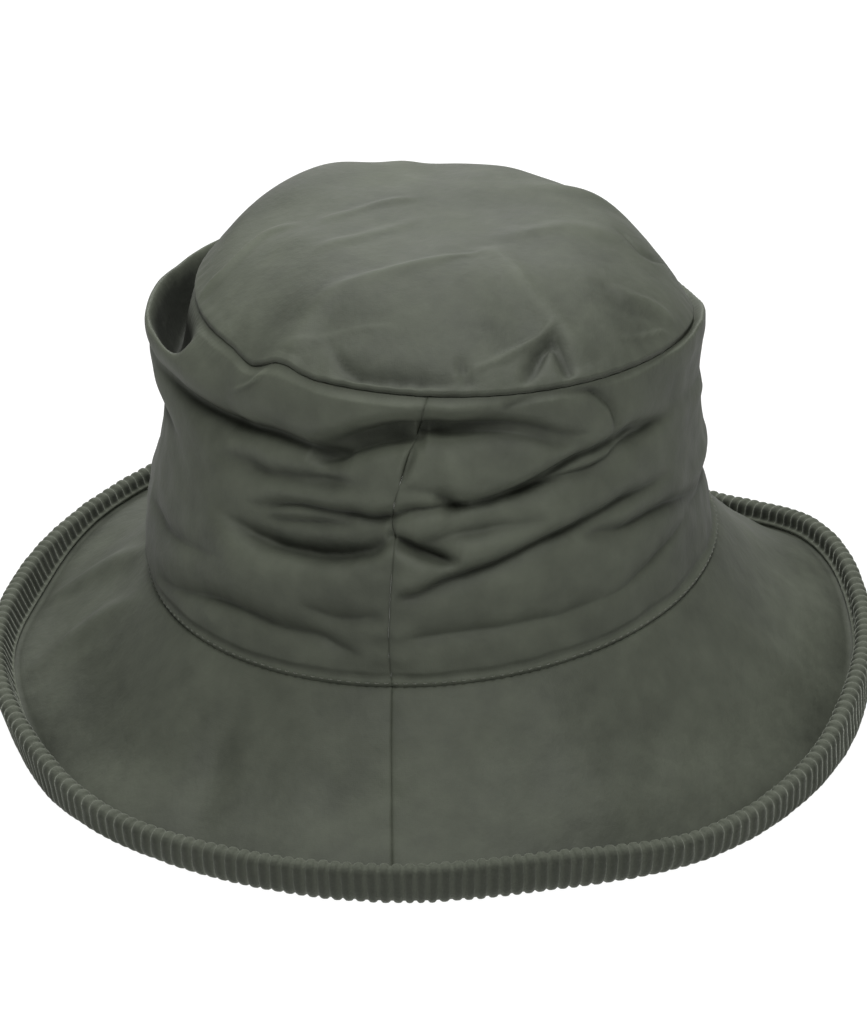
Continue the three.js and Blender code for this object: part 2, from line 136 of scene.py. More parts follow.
# The rim at equal steps round the hat: angle, lean out in degrees, then the height of its top, its lift off
# the table and its reach past the brim's oval, as shares of the rim's height
RIM_PLACES = (
    (-160, 22, 0.975, 0.247, 0.122),
    (-140, 24, 1.177, 0.635, 0.228),
    (-120, 25, 1.162, 0.663, 0.05),
    (-100, 25, 1.135, 0.419, -0.044),
    (-80, 22, 1.088, 0.388, 0),
    (-60, 15, 1.011, -0.01, -0.026),
    (-40, 7, 0.86, 0.201, 0.065),
    (-20, 5, 0.952, 0.253, 0.018),
    (0, 5, 1.039, 0.272, -0.036),
    (20, 4, 1.074, 0.3, -0.108),
    (40, 3, 0.807, 0.168, 0.031),
    (60, -1, 0.818, 0.044, -0.081),
    (80, -5, 1.014, 0, -0.169),
    (100, -4, 1.06, 0.411, -0.005),
    (120, 0, 1.133, 0.596, 0.148),
    (140, 6, 0.695, 0.16, -0.125),
    (160, 13, 0.559, 0, -0.141),
    (180, 18, 0.709, 0, -0.026),
)

# Waves of the brim's slope: angle, width, lift as a share of the seam's height
BRIM_WAVES = (
    (-98, 12, 0.045),
    (-80, 14, -0.03),
    (-30, 10, -0.03),
    (28, 14, 0.035),
    (84, 16, 0.03),
    (170, 26, 0.03),
)

# The wall's folds. A knot is angle, share and depth of the crease in mm. Above and below are the widths of
# the fall into the crease, floor is how far the cloth stays in under it, roll is how far it swells over it
# and reach how far up that swell is. All folds have one share of their depth, one softness, one rounding of
# the crease, and one share by which the cloth sinks into a crease and sags over it.

Fold = namedtuple("Fold", "above below floor roll reach knots")
FOLD_DEPTH = 0.85
FOLD_SOFTNESS = 1.15
CREASE_ROUND = 0.5
SINK = 0.48
SAG = 0.5
FOLDS = (
    Fold(2.2, 3.4, 0.8, 2.2, 7, (
        (-150, 0.74, 0), (-120, 0.75, 1.5), (-100, 0.765, 2), (-84, 0.775, 2.5), (-75, 0.768, 3.5),
        (-68, 0.768, 5.5), (-60, 0.77, 7), (-52, 0.777, 7.8), (-47, 0.788, 8), (-39, 0.802, 7.8),
        (-30, 0.804, 7), (-24, 0.8, 6), (-20, 0.797, 4.5), (-15, 0.79, 0))),
    Fold(1.0, 1.8, 5.0, 2.0, 6, (
        (-26, 0.812, 0), (-22, 0.826, 5), (-16, 0.866, 9), (-10, 0.9, 10), (-4, 0.919, 9.5),
        (-1.5, 0.923, 7), (1, 0.928, 0))),
    Fold(1.2, 2.6, 2.6, 2.0, 6, (
        (-2, 0.922, 0), (0.5, 0.927, 8), (3, 0.927, 9.5), (7, 0.924, 8.5), (12.5, 0.922, 6.5),
        (20.5, 0.908, 4.5), (25, 0.888, 4), (29, 0.861, 3.5), (35, 0.831, 2), (38, 0.815, 0))),
    Fold(1.2, 2.2, 0.8, 1.8, 6, (
        (3, 0.69, 0), (5.4, 0.683, 3), (8.2, 0.662, 4.5), (13, 0.66, 5), (17, 0.671, 5.5),
        (22, 0.695, 5.5), (26, 0.719, 6), (32.4, 0.752, 5.5), (39.4, 0.768, 4.4), (44.6, 0.785, 3.8),
        (48.6, 0.8, 4), (53, 0.79, 3.5), (58, 0.768, 2.5), (64, 0.75, 0))),
    Fold(1.2, 3.5, 0, 0.8, 3.5, (
        (18, 0.66, 0), (22, 0.677, 2.5), (26, 0.69, 3.2), (32, 0.697, 3.5), (39, 0.701, 3.5),
        (42.3, 0.715, 2.6), (44.5, 0.735, 2.6), (48.4, 0.754, 2.6), (54, 0.757, 2), (58, 0.755, 0))),
    Fold(1.3, 2.4, 0, 1.4, 4, (
        (-40, 0.535, 0), (-36.5, 0.546, 2), (-33.7, 0.568, 3.5), (-29, 0.591, 4.5), (-24, 0.6, 4.5),
        (-19, 0.6, 4.5), (-13.6, 0.603, 5), (-8.2, 0.6, 5), (-5, 0.612, 4.5), (-2.7, 0.628, 4.2),
        (2.5, 0.643, 4), (7.7, 0.651, 3), (11, 0.655, 0))),
    Fold(2.2, 2.4, 0, 0.4, 4, (
        (-4, 0.7, 0), (-1.7, 0.697, 1.6), (1.4, 0.695, 2.6), (5.4, 0.683, 3.2), (7.5, 0.665, 2),
        (9, 0.655, 0))),
    Fold(1.2, 1.6, 0, 0.6, 3, (
        (-36, 0.51, 0), (-33.5, 0.518, 2), (-28.5, 0.534, 3), (-22, 0.55, 3.2), (-17.7, 0.558, 2.4),
        (-13, 0.56, 0))),
    Fold(5.6, 2.0, 0, 0, 5, (
        (-48, 0.48, 0), (-43, 0.465, 3.5), (-38.7, 0.449, 7), (-33.7, 0.44, 10), (-27, 0.442, 11),
        (-19.5, 0.449, 11), (-12.5, 0.469, 9.5), (-7, 0.5, 6), (-5.5, 0.52, 3), (-4, 0.55, 0))),
    Fold(2.6, 1.6, 0.4, 1.2, 5, (
        (-6.5, 0.545, 0), (-5, 0.538, 3.5), (-2.3, 0.521, 7), (2, 0.495, 8), (6.1, 0.473, 7),
        (8.1, 0.461, 3), (9.5, 0.455, 0))),
    Fold(1.4, 3.0, 0, 1.6, 7, (
        (-3.5, 0.322, 0), (-1.5, 0.328, 2), (1.2, 0.344, 3.5), (5.9, 0.384, 4.4), (10.9, 0.411, 5),
        (15, 0.43, 5), (19.6, 0.451, 5), (24, 0.475, 5), (29.6, 0.495, 5), (35, 0.51, 4.5),
        (41, 0.532, 4), (47.7, 0.549, 3.5), (51.2, 0.544, 2.5), (56, 0.538, 1.5), (61, 0.53, 0))),
    Fold(1.8, 3.0, 0, 1.0, 6, (
        (35, 0.45, 0), (39, 0.449, 2), (44.5, 0.436, 3), (52, 0.432, 3.4), (60.6, 0.42, 3),
        (70.7, 0.37, 1.5), (78, 0.34, 0))),
    Fold(2.4, 3.0, 1.0, 1.2, 6, (
        (-52, 0.64, 0), (-44, 0.665, 3), (-37, 0.668, 4.5), (-28, 0.688, 5), (-19.5, 0.7, 4.5),
        (-10, 0.695, 0))),
    Fold(4.0, 3.0, 0, 0.4, 6, (
        (0, 0.53, 0), (2.9, 0.534, 3), (7.7, 0.552, 4.5), (12.5, 0.558, 5), (17.5, 0.566, 4.5),
        (22.6, 0.561, 3), (28, 0.555, 0))),
    Fold(3.0, 2.4, 0, 0.6, 8, (
        (-2, 0.175, 0), (1, 0.181, 1.6), (7, 0.193, 2.4), (15.4, 0.193, 2.6), (24, 0.194, 2.6),
        (31.7, 0.186, 2), (38.5, 0.192, 1.5), (45, 0.19, 0))),
    Fold(3.5, 2.6, 0, 0.8, 8, (
        (-66, 0.09, 0), (-59.6, 0.11, 2), (-45.6, 0.176, 4), (-37, 0.19, 5), (-30, 0.177, 5),
        (-24, 0.172, 4.5), (-18, 0.166, 4), (-12, 0.128, 2.5), (-8, 0.11, 0))),
    Fold(2.6, 2.0, 0, 0.4, 6, (
        (-23, 0.26, 0), (-19, 0.254, 1.8), (-16, 0.244, 2.6), (-11.7, 0.244, 2.6), (-7.3, 0.253, 1.8),
        (-4.5, 0.25, 0))),
    Fold(3.5, 3.0, 0, 0.8, 8, (
        (-76, 0.3, 0), (-72, 0.307, 1.4), (-65, 0.292, 2), (-56.6, 0.301, 2), (-48.7, 0.317, 1.8),
        (-40.6, 0.34, 0))),
    Fold(1.0, 1.0, 0, 0.3, 4, (
        (29, 1.0, 0), (33, 0.99, 1.6), (37.6, 0.973, 2.2), (41, 0.93, 2.2), (42.8, 0.888, 2.2),
        (43.5, 0.85, 2), (45, 0.81, 0))),
    Fold(1.0, 1.2, 0, 0.2, 4, (
        (16, 0.965, 0), (18.3, 0.971, 1.6), (20.5, 0.983, 1.8), (23, 0.99, 1), (25, 1, 0))),
    Fold(3.0, 2.4, 0, 0.6, 7, (
        (40, 0.185, 0), (45, 0.195, 1.2), (53.5, 0.225, 2), (60, 0.255, 1.8), (70, 0.29, 0))),
    # The sides and the back
    Fold(3.0, 2.0, 0, 1.2, 8, (
        (-168, 0.46, 0), (-150, 0.475, 2.4), (-128, 0.46, 3.6), (-108, 0.43, 3), (-88, 0.39, 0))),
    Fold(2.4, 1.8, 0, 1.2, 7, (
        (-126, 0.7, 0), (-112, 0.68, 2.5), (-96, 0.64, 3.5), (-80, 0.61, 3), (-62, 0.6, 0))),
    Fold(2.6, 2.0, 0, 1.4, 8, (
        (146, 0.72, 0), (158, 0.77, 3), (176, 0.8, 4.4), (196, 0.8, 4), (214, 0.78, 0))),
    Fold(2.6, 1.8, 0, 1.2, 8, (
        (122, 0.5, 0), (138, 0.49, 2.6), (156, 0.5, 3.6), (176, 0.53, 3.4), (194, 0.56, 0))),
    Fold(3.4, 2.6, 0, 1.0, 8, (
        (160, 0.3, 0), (176, 0.285, 2), (198, 0.25, 2.8), (214, 0.24, 2), (232, 0.22, 0))),
    Fold(2.6, 1.8, 0, 1.2, 8, (
        (84, 0.73, 0), (98, 0.73, 2.6), (118, 0.7, 3.6), (138, 0.66, 3), (156, 0.63, 0))),
    Fold(3.2, 2.4, 0, 0.8, 8, (
        (70, 0.31, 0), (86, 0.3, 2), (104, 0.27, 2.6), (124, 0.22, 2), (140, 0.19, 0))),
    Fold(2.0, 1.6, 0, 0.6, 5, (
        (92, 0.52, 0), (102, 0.54, 2), (116, 0.55, 2.4), (130, 0.53, 0))),
    Fold(3.4, 2.8, 0, 0.8, 8, (
        (-134, 0.22, 0), (-118, 0.2, 1.8), (-98, 0.18, 2.4), (-80, 0.19, 0))),
)

# Creases of the tip that run round it: knots are angle, radius and depth; widths as for the wall, in mm
TIP_CREASES = (
    (1.3, 2.4, ((-27, 0.88, 0), (-23, 0.917, 0.9), (-20.3, 0.945, 2.0), (-16, 0.966, 2.8), (-8.4, 0.966, 2.7),
                (-2.8, 0.967, 2.3), (2, 0.975, 1.5), (5.6, 0.98, 0.6), (8, 0.985, 0))),
)

TIP_CREASE_ROUND = 0.4

# Ridges and creases of the tip that run from its middle to its seam: width in mm, and knots of radius,
# angle and height
TIP_SPINES = (
    (2.2, (
        (0.55, -87, 0), (0.73, -88, 1.4), (0.81, -81.5, 2.0), (0.88, -77, 2.0), (0.965, -75.5, 1.6),
        (1, -76, 0))),
    (3.8, (
        (0.34, 28, 0), (0.4, 6.5, 0.8), (0.47, -7.5, 1.1), (0.576, -22, 1.3), (0.71, -31, 1.4),
        (0.8, -33.5, 1.4), (0.87, -33.6, 1.3), (0.97, -34, 0.6))),
    (2.8, (
        (0.8, -10, 0), (0.81, -13.6, 0.4), (0.848, -21.9, 0.6), (0.883, -26.6, 0.7), (0.956, -33.2, 0.5),
        (0.97, -34, 0))),
    (4.0, (
        (0.3, 31, 0), (0.336, 32.4, 0.6), (0.451, 33.9, 1.2), (0.649, 32, 1.5), (0.766, 34.1, 1.6),
        (0.846, 36, 1.5), (0.91, 38.2, 1.0), (0.96, 39, 0))),
    (2.4, (
        (0.8, 33, 0), (0.828, 31.7, 1.0), (0.845, 27.6, 1.2), (0.889, 21, 1.2), (0.923, 16.4, 1.0),
        (0.95, 10.4, 0.6), (0.97, 7, 0))),
    (1.6, (
        (0.9, 7.8, 0), (0.926, 8, -1.4), (0.954, 8.8, -1.8), (0.984, 9.6, -1.0), (1, 10, 0))),
    (2.6, (
        (0.83, 32, 0), (0.854, 31.4, -2), (0.891, 28, -2.9), (0.93, 25.6, -2.7), (0.968, 23.5, -1.6),
        (1, 21, 0))),
    (2.0, (
        (0.84, 32, 0), (0.857, 32.4, -1.6), (0.916, 32.8, -3.0), (0.956, 33, -2.8), (0.99, 32.8, -0.8),
        (1, 32.8, 0))),
    (2.0, (
        (0.66, 101, 0), (0.695, 99, -0.6), (0.758, 92, -1.0), (0.812, 93, -1.0), (0.909, 103, -0.6),
        (0.95, 104, 0))),
    (2.4, (
        (0.76, 60, 0), (0.834, 62, 0.8), (0.892, 66.4, 1.2), (0.948, 68.8, 1.2), (0.977, 70, 0.6),
        (1, 70, 0))),
    (2.0, (
        (0.92, 50, 0), (0.944, 53.8, 0.6), (0.961, 60.7, 1.0), (0.985, 64.6, 0.6), (1, 65, 0))),
    (3.4, (
        (0.7, 56, 0), (0.796, 57, -0.8), (0.84, 57, -0.9), (0.89, 60, -1.0), (0.935, 64, -0.8),
        (0.97, 65, 0))),
    (3.0, (
        (0.2, -140, 0), (0.23, -132, 0.4), (0.36, -97, 0.7), (0.5, -86.5, 0.6), (0.56, -83, 0))),
    (3.0, (
        (0.07, -85, 0), (0.2, -64, 0.5), (0.357, -57, 0.8), (0.533, -58, 0.8), (0.6, -58, 0))),
    (5.0, (
        (0.2, 50, 0), (0.28, 62.7, 0.5), (0.423, 87.5, 0.9), (0.604, 93.3, 0.8), (0.7, 96, 0))),
    (6.0, (
        (0.3, 150, 0), (0.55, 140, 0.8), (0.8, 132, 1.2), (1, 128, 0))),
    (7.0, (
        (0.2, -150, 0), (0.5, -158, 0.9), (0.8, -162, 1.0), (1, -165, 0))),
)

# Short ridges and tucks that climb the wall: width in mm, knots of share, angle, height
WALL_SPINES = (
    (1.3, ((0.88, -47, 0), (0.915, -44, 0.9), (0.957, -40, 1.3), (0.985, -38.4, 0.9), (1, -37.6, 0))),
    (1.2, ((0.70, -4, 0), (0.735, -3.2, -1.2), (0.767, -2.6, -1.8), (0.816, -2.0, -1.8), (0.85, -2.4, -1.0),
           (0.873, -2.7, 0))),
)

# Soft ridges and creases of the brim: width in mm, knots of share of the slope, angle, height
BRIM_SPINES = (
    (5.5, ((0.02, -88, 0), (0.2, -92, 1.8), (0.5, -96, 2.4), (0.8, -97, 1.4), (1, -98, 0))),
    (5.0, ((0.1, -74, 0), (0.3, -78, 1.4), (0.6, -80, 1.9), (0.9, -78, 0.8), (1, -78, 0))),
    (8.0, ((0.0, -28, 0), (0.3, -32, -1.2), (0.7, -30, -1.6), (1, -28, -0.4))),
    (12.0, ((0.05, 24, 0), (0.4, 27, 1.4), (0.8, 30, 1.4), (1, 31, 0.2))),
    (9.0, ((0.05, 70, 0), (0.4, 76, 1.2), (0.8, 80, 1.0), (1, 82, 0))),
    (10.0, ((0.05, 112, 0), (0.4, 118, -1.2), (0.8, 122, -1.0), (1, 124, 0))),
    (10.0, ((0.05, 150, 0), (0.5, 155, 1.4), (1, 158, 0))),
    (12.0, ((0.05, 196, 0), (0.5, 200, 1.5), (1, 202, 0))),
    (9.0, ((0.05, 226, 0), (0.5, 224, -1.2), (1, 222, 0))),
)

# Seams: how deep and wide the grooves are, how the cloth puckers beside them, and the gap between the halves
SEAM_GAP = 0.01
SEAM_GROOVE = 0.45
SEAM_GROOVE_WIDTH = 1.3
SEAM_PUCKER = 0.22
PUCKER_PITCH = 7.5
PUCKER_AWAY = 2
PUCKER_WIDTH = 3.5
BRIM_PUCKER = 0.2
BRIM_PUCKER_PITCH = 8.5

# The tip seam: its groove, which fades round an angle over a width by a share, and the puckers along it
TIP_GROOVE = 0.3
TIP_GROOVE_WIDTH = 0.8
TIP_GROOVE_FADE = (70, 60, 0.8)
TIP_PUCKERS = 2.2
TIP_PUCKER_OVER = (0.22, 2.2)
TIP_PUCKER_UNDER = (0.12, 2.5)

# The welt over the head seam, and the groove over the welt
WELT_HEIGHT = 2.6
WELT_OUT = 0.6
WELT_SHARPNESS = 1.2
WELT_GROOVE = (0.35, 0.9, 1.1)

# Ripples of the cloth: height and wave length in mm, seed, and how much shorter the waves are upwards
WALL_RIPPLES = ((0.35, 34, 11, 1), (0.14, 15, 12, 1.8))
TIP_RIPPLES = ((0.5, 42, 21, 1), (0.12, 16, 22, 1))
BRIM_RIPPLES = ((0.5, 46, 31, 1), (0.12, 17, 32, 1))

# The corduroy: its ribs round the hat, one rib's places across it and their heights as shares, how far a rib
# stands out and its valley lies in, how it wanders along its way and how its plumpness varies
RIBS = 244
RIB_PLACES = (0, 0.13, 0.2, 0.32, 0.5, 0.68, 0.8, 0.87)
RIB_HEIGHTS = (0, 0.04, 0.5, 0.9, 1, 0.9, 0.5, 0.04)
RIB_OUT = 0.42
VALLEY_IN = 0.3
RIB_WANDER = ((0.1, 26, 41, 1), (0.05, 9, 42, 1))
RIB_WANDER_SHARE = 0.6
RIB_PLUMPNESS = ((0.12, 11, 43, 1),)

# Stitches over the head seam: their spacing, length and thickness, and how high they lie on the wall
STITCH_PITCH = 3.0
STITCH_LENGTH = 1.6
STITCH_RADIUS = 0.24
STITCH_HEIGHT = 1.4

# Rows and columns of the surfaces, the binding's under its curl, on its stand, round its edge and inside it,
# and how they crowd towards the seams
WALL_COLUMNS = 300
WALL_ROWS = 160
TIP_COLUMNS = 320
TIP_RINGS = 90
BRIM_COLUMNS = 300
SLOPE_ROWS = 60
CURL_ROWS = 14
BINDING_ROWS = (10, 6, 9, 8)
ROW_CROWDING = 0.35
RING_CROWDING = 1.25
UNDER_ROWS_KEPT = 3

# Where waxed cloth is paler or darker: the relief in mm that counts as one step, how pale the welt is, and
# how many passes smooth the wall to tell its folds from its slopes. The folds and the valley are darker as
# painted shade. The tip has painted shade in a hill at the front: size, width, radius and reach. The brim
# has painted shade in the corner inside its rim: size, place, width.
WALL_STEP = 1.2
VALLEY_PAINTED_SHADE_STEP = 2
TIP_STEP = 1.6
WELT_PALE = 0.6
SMOOTHING = 60
TIP_FRONT_PAINTED_SHADE = (0.7, 55, 0.75, 0.3)
RIM_CORNER_PAINTED_SHADE = (1.5, 6, 10)

# How dark the corduroy is: everywhere, on the ribs, and inside the rim as painted shade. The rim's crest
# is left pale as a painted highlight. The crest and the inside are told by how far the surface faces up or
# inwards.
DARK_ALL = 0.24
DARK_RIBS = 0.42
PAINTED_SHADE_INSIDE = 0.34
PAINTED_HIGHLIGHT_FACES = (0.45, 0.95)
PAINTED_SHADE_FACES = (-0.2, 0.4)


# Plain formulas

def hill(offset, width):
    """A smooth hill: e to the power of minus (offset over width) squared."""
    return np.exp(-((offset / width) ** 2))


def ease(x, low, high):
    """A smooth step: with t from 0 at low to 1 at high, 3 t squared minus 2 t cubed."""
    t = np.clip((x - low) / (high - low), 0, 1)
    return t * t * (3 - 2 * t)


def turn_between(start, end):
    """The turn from one angle to another, between -180 and 180."""
    return (end - start + 180) % 360 - 180


def smooth_line(knots, x, column=1):
    """Cubic pieces through the knots; the slope at a knot is the one between its two neighbours."""
    table = np.array(knots, float)
    place, value = table[:, 0], table[:, column]
    slope = np.gradient(value, place)
    x = np.clip(x, place[0], place[-1])
    i = np.clip(np.searchsorted(place, x) - 1, 0, len(place) - 2)
    step = place[i + 1] - place[i]
    t = (x - place[i]) / step
    rest = 1 - t
    return (value[i] * (1 + 2 * t) * rest ** 2 + slope[i] * step * t * rest ** 2
            + value[i + 1] * t ** 2 * (3 - 2 * t) - slope[i + 1] * step * t ** 2 * rest)


def ripples(points, wavelength, seed, count=14):
    """
    Sine waves of about one length, each in a direction and with a start of its own, added up and divided by
    the root of their number.
    """
    draw = np.random.default_rng(seed)
    way = draw.normal(size=(count, 3))
    way /= np.linalg.norm(way, axis=1)[:, None]
    start = draw.uniform(0, 2 * np.pi, count)
    spread = draw.uniform(0.7, 1.4, count)
    total = np.zeros(points.shape[:-1])
    for k in range(count):
        total += np.sin(points @ way[k] * (2 * np.pi * spread[k] / wavelength) + start[k])
    return total / np.sqrt(count)


def cloth_ripples(points, table):
    """The sum of a table's ripples, each with its own height, length, seed and squeeze upwards."""
    return sum(height * ripples(points * [1, 1, squeeze], length, seed)
               for height, length, seed, squeeze in table)


def stack(x, y, z):
    """Points from their three coordinates."""
    return np.stack(np.broadcast_arrays(x, y, z), axis=-1)


def crowded(t):
    """Steps that are closer together at the start: 0.7 t plus 0.3 t squared."""
    return 0.7 * t + 0.3 * t * t


def oval(width, length, deg):
    """The point (width / 2 sin, -length / 2 cos, 0)."""
    turn = np.radians(deg)
    return stack(width / 2 * np.sin(turn), -length / 2 * np.cos(turn), 0.0 * turn)


def outward(deg):
    """The level way straight out of the head's oval: (sin / width, -cos / length), made one long."""
    turn = np.radians(deg)
    x, y = np.sin(turn) / HEAD_WIDTH, -np.cos(turn) / HEAD_LENGTH
    size = np.hypot(x, y)
    return stack(x / size, y / size, 0.0 * turn)


# The crown

def head_seam(deg):
    """The head's oval, at the seam's height plus its tilt times the sine."""
    point = oval(HEAD_WIDTH, HEAD_LENGTH, deg)
    point[..., 2] = SEAM_HEIGHT + SEAM_LIFT + SEAM_TILT * np.sin(np.radians(deg))
    return point


def tip_plane(deg, radius):
    """The tip's oval at a radius from 0 to 1, tilted to the front and the side, with the seam's drops."""
    turn = np.radians(deg)
    point = oval(TIP_WIDTH, TIP_LENGTH, deg) * radius[..., None]
    point[..., 0] += TIP_SHIFT
    point[..., 2] = SEAM_HEIGHT + CROWN_DEPTH + radius * (TIP_PITCH * np.cos(turn) - TIP_ROLL * np.sin(turn))
    for at, width, drop, out in TIP_SEAM_FORMS:
        amount = CROWN_DEPTH * hill(turn_between(at, deg), width) * radius ** DOME_POWER
        point += outward(deg) * (out * amount)[..., None]
        point[..., 2] -= drop * amount
    point[..., 2] -= seam_kink(deg) * radius ** KINK_POWER
    return point


def seam_kink(deg):
    """How far the tip seam's kinks drop it: the sum of each drop times a hill of the angle from it."""
    return sum(drop * hill(turn_between(at, deg), width) for at, width, drop in TIP_SEAM_KINKS)


def front_seam(share):
    """The front seam's angle at a share of the wall, on its smooth line."""
    return smooth_line(FRONT_SEAM, share)


def fold_moves(fold, deg, share):
    """
    How far one fold moves the cloth in and up, in mm. The crease runs through its knots, and a place is a mm
    above it, square to it. The cloth goes in by depth times e to the power of minus a over above, or under
    it, past its floor, over below, and sinks by about half as much. Over the crease it swells by roll times
    a / reach times e to the power of 1 - a / reach, and sags a little.
    """
    first, last = fold.knots[0][0], fold.knots[-1][0]
    middle = (first + last) / 2
    place = middle + turn_between(middle, deg)
    depth = np.where((place > first) & (place < last), smooth_line(fold.knots, place, 2), 0).clip(0)
    crease = smooth_line(fold.knots, place)
    lean = (smooth_line(fold.knots, place + 0.5) - smooth_line(fold.knots, place - 0.5)) * CROWN_DEPTH
    around = np.pi / 180 * 0.25 * (HEAD_WIDTH + TIP_WIDTH)
    away = (share - crease) * CROWN_DEPTH / np.hypot(1, lean / around)
    past = np.where(away > 0, away, np.maximum(-away - fold.floor, 0))
    beside = np.sqrt(past ** 2 + CREASE_ROUND ** 2) - CREASE_ROUND
    fall = FOLD_DEPTH * depth * np.exp(-beside / (FOLD_SOFTNESS * np.where(away > 0, fold.above, fold.below)))
    full = max(knot[2] for knot in fold.knots)
    rise = np.clip(away, 0, None) / fold.reach
    roll = fold.roll * depth / full * rise * np.exp(1 - rise)
    return fall - roll, -SINK * fall - SAG * roll * np.exp(-rise * 2)


def ridge_moves(deg, share):
    """
    The ridge, its valley and the shoulder: each one's size round the hat times its section. Out, up, and how
    deep the valley is.
    """
    middle = (RIDGE_SIZES[0][0] + RIDGE_SIZES[-1][0]) / 2
    place = middle + turn_between(middle, deg)
    size = section(RIDGE_SIZES, place, 1).clip(0)
    valley = size * ease(-place, -VALLEY_STARTS[0], -VALLEY_STARTS[1])
    shoulder = hill(turn_between(SHOULDER[0], deg), SHOULDER[1])
    moves = [size * section(RIDGE_SECTION, share, column) + valley * section(VALLEY_SECTION, share, column)
             + shoulder * section(SHOULDER_SECTION, share, column) for column in (1, 2)]
    return *moves, -valley * section(VALLEY_SECTION, share, 2)


def section(table, share, column):
    """The smooth line through a section's knots, and 0 outside them."""
    inside = (share > table[0][0]) & (share < table[-1][0])
    return smooth_line(table, share, column) * inside


def wall_point(deg, share):
    """
    The wall at an angle and a share: a straight line from the head seam to the tip seam, moved straight out
    and up by the swells, the ridge, the folds and the ripples, all held still at the two seams. Then come
    the groove and the puckers of the upright seams and of the tip seam, and the welt over the head seam.
    """
    deg, share = np.broadcast_arrays(np.asarray(deg, float), np.asarray(share, float))
    low = head_seam(deg)
    point = low + (tip_plane(deg, np.ones_like(share)) - low) * share[..., None]
    point[..., 2] += seam_kink(deg) * (share - share ** KINK_POWER)
    hold = ease(share, 0, HOLD_LOW) * ease(1 - share, 0, HOLD_HIGH)
    out = np.zeros_like(share)
    up = np.zeros_like(share)
    for at, width, middle, reach, amount in SWELLS:
        out += CROWN_DEPTH * amount * hill(turn_between(at, deg), width) * hill(share - middle, reach)
    ridge_out, ridge_up, _ = ridge_moves(deg, share)
    out += ridge_out
    up += ridge_up
    for fold in FOLDS:
        fall, rise = fold_moves(fold, deg, share)
        out -= fall
        up += rise
    out += spines(WALL_SPINES, share, deg, TIP_WIDTH / 2)
    out += cloth_ripples(point, WALL_RIPPLES)
    out *= hold
    up *= hold
    height = share * CROWN_DEPTH
    for seam in (front_seam(share), np.full_like(share, BACK_SEAM)):
        side = np.abs(turn_between(seam, deg)) * np.pi / 180 * TIP_WIDTH / 2
        out -= SEAM_GROOVE * np.exp(-side / SEAM_GROOVE_WIDTH)
        pucker = np.sin(2 * np.pi * height / PUCKER_PITCH)
        out += SEAM_PUCKER * pucker * hill(side - PUCKER_AWAY, PUCKER_WIDTH) * hold
    below_tip = (1 - share) * CROWN_DEPTH
    at, width, lost = TIP_GROOVE_FADE
    groove = TIP_GROOVE * (1 - lost * hill(turn_between(at, deg), width))
    out -= groove * np.exp(-below_tip / TIP_GROOVE_WIDTH)
    size, width = TIP_PUCKER_UNDER
    out += size * np.sin(deg * TIP_PUCKERS * np.pi) * hill(below_tip - PUCKER_AWAY, width)
    out += WELT_OUT * np.sin(np.pi * np.clip(height / WELT_HEIGHT, 0, 1)) ** WELT_SHARPNESS
    size, above, width = WELT_GROOVE
    out -= size * hill(height - WELT_HEIGHT - above, width)
    return point + outward(deg) * out[..., None] + stack(0, 0, up)


def cloth_back(outer, deg, share, side):
    """
    The wall's inner face: one cloth behind the outer one, square to it, and straight inwards near the seams.
    """
    along = np.gradient(outer, axis=1)
    across = np.gradient(outer, axis=0) * side
    square = np.cross(across, along)
    square /= np.linalg.norm(square, axis=-1, keepdims=True)
    level = outward(deg)
    edge = np.maximum(1 - ease(share, 0, LEVEL_LOW), 1 - ease(1 - share, 0, LEVEL_HIGH))[..., None]
    way = square * (1 - edge) + level * edge
    way /= np.linalg.norm(way, axis=-1, keepdims=True)
    return outer - way * CROWN_CLOTH


def dome_height(deg, radius):
    """1 minus radius to the dome's power, plus each swell or dent as a hill round the tip and along it."""
    height = 1 - radius ** DOME_POWER
    for at, width, middle, reach, rise in TIP_FORMS:
        hold = ease(1 - radius, 0, 0.15) * ease(radius, 0, 0.3)
        height += rise * hill(turn_between(at, deg), width) * hill(radius - middle, reach) * hold
    return (DOME_RISE - CROWN_CLOTH - CLEARANCE) * height


def spines(table, along, deg, scale):
    """The sum of ridges: height times a hill of the distance from each ridge's smooth line, in mm."""
    total = np.zeros(np.broadcast(along, deg).shape)
    for width, knots in table:
        off = turn_between(smooth_line(knots, along), deg) * np.pi / 180 * scale
        height = smooth_line(knots, along, 2) * (along >= knots[0][0]) * (along <= knots[-1][0])
        total += height * hill(off, width)
    return total


def tip_relief(deg, radius):
    """The tip's creases and ridges in mm, held still at its seam."""
    mean = (TIP_WIDTH + TIP_LENGTH) / 4
    relief = spines(TIP_SPINES, radius, deg, radius * mean)
    for above, below, knots in TIP_CREASES:
        inside = (deg > knots[0][0]) & (deg < knots[-1][0])
        away = (smooth_line(knots, deg) - radius) * mean
        depth = smooth_line(knots, deg, 2).clip(0) * inside
        beside = np.sqrt(away ** 2 + TIP_CREASE_ROUND ** 2) - TIP_CREASE_ROUND
        relief -= depth * np.exp(-beside / np.where(away > 0, above, below))
    return relief * ease(1 - radius, 0, 0.02)


def tip_point(deg, radius, under=False):
    """The tip at an angle and radius: its seam's plane plus the dome, its relief, puckers and ripples."""
    deg, radius = np.broadcast_arrays(np.asarray(deg, float), np.asarray(radius, float))
    point = tip_plane(deg, radius)
    rise = dome_height(deg, radius) + tip_relief(deg, radius)
    hold = ease(1 - radius, 0, 0.04) * ease(radius, 0, 0.3)
    rise += cloth_ripples(point, TIP_RIPPLES) * hold
    inwards = (1 - radius) * (TIP_WIDTH + TIP_LENGTH) / 4
    size, width = TIP_PUCKER_OVER
    rise += size * np.sin(deg * TIP_PUCKERS * np.pi) * hill(inwards - PUCKER_AWAY, width)
    skin = CLEARANCE + (0 if under else CROWN_CLOTH)
    point[..., 2] += rise + skin
    return point


# The brim and its binding

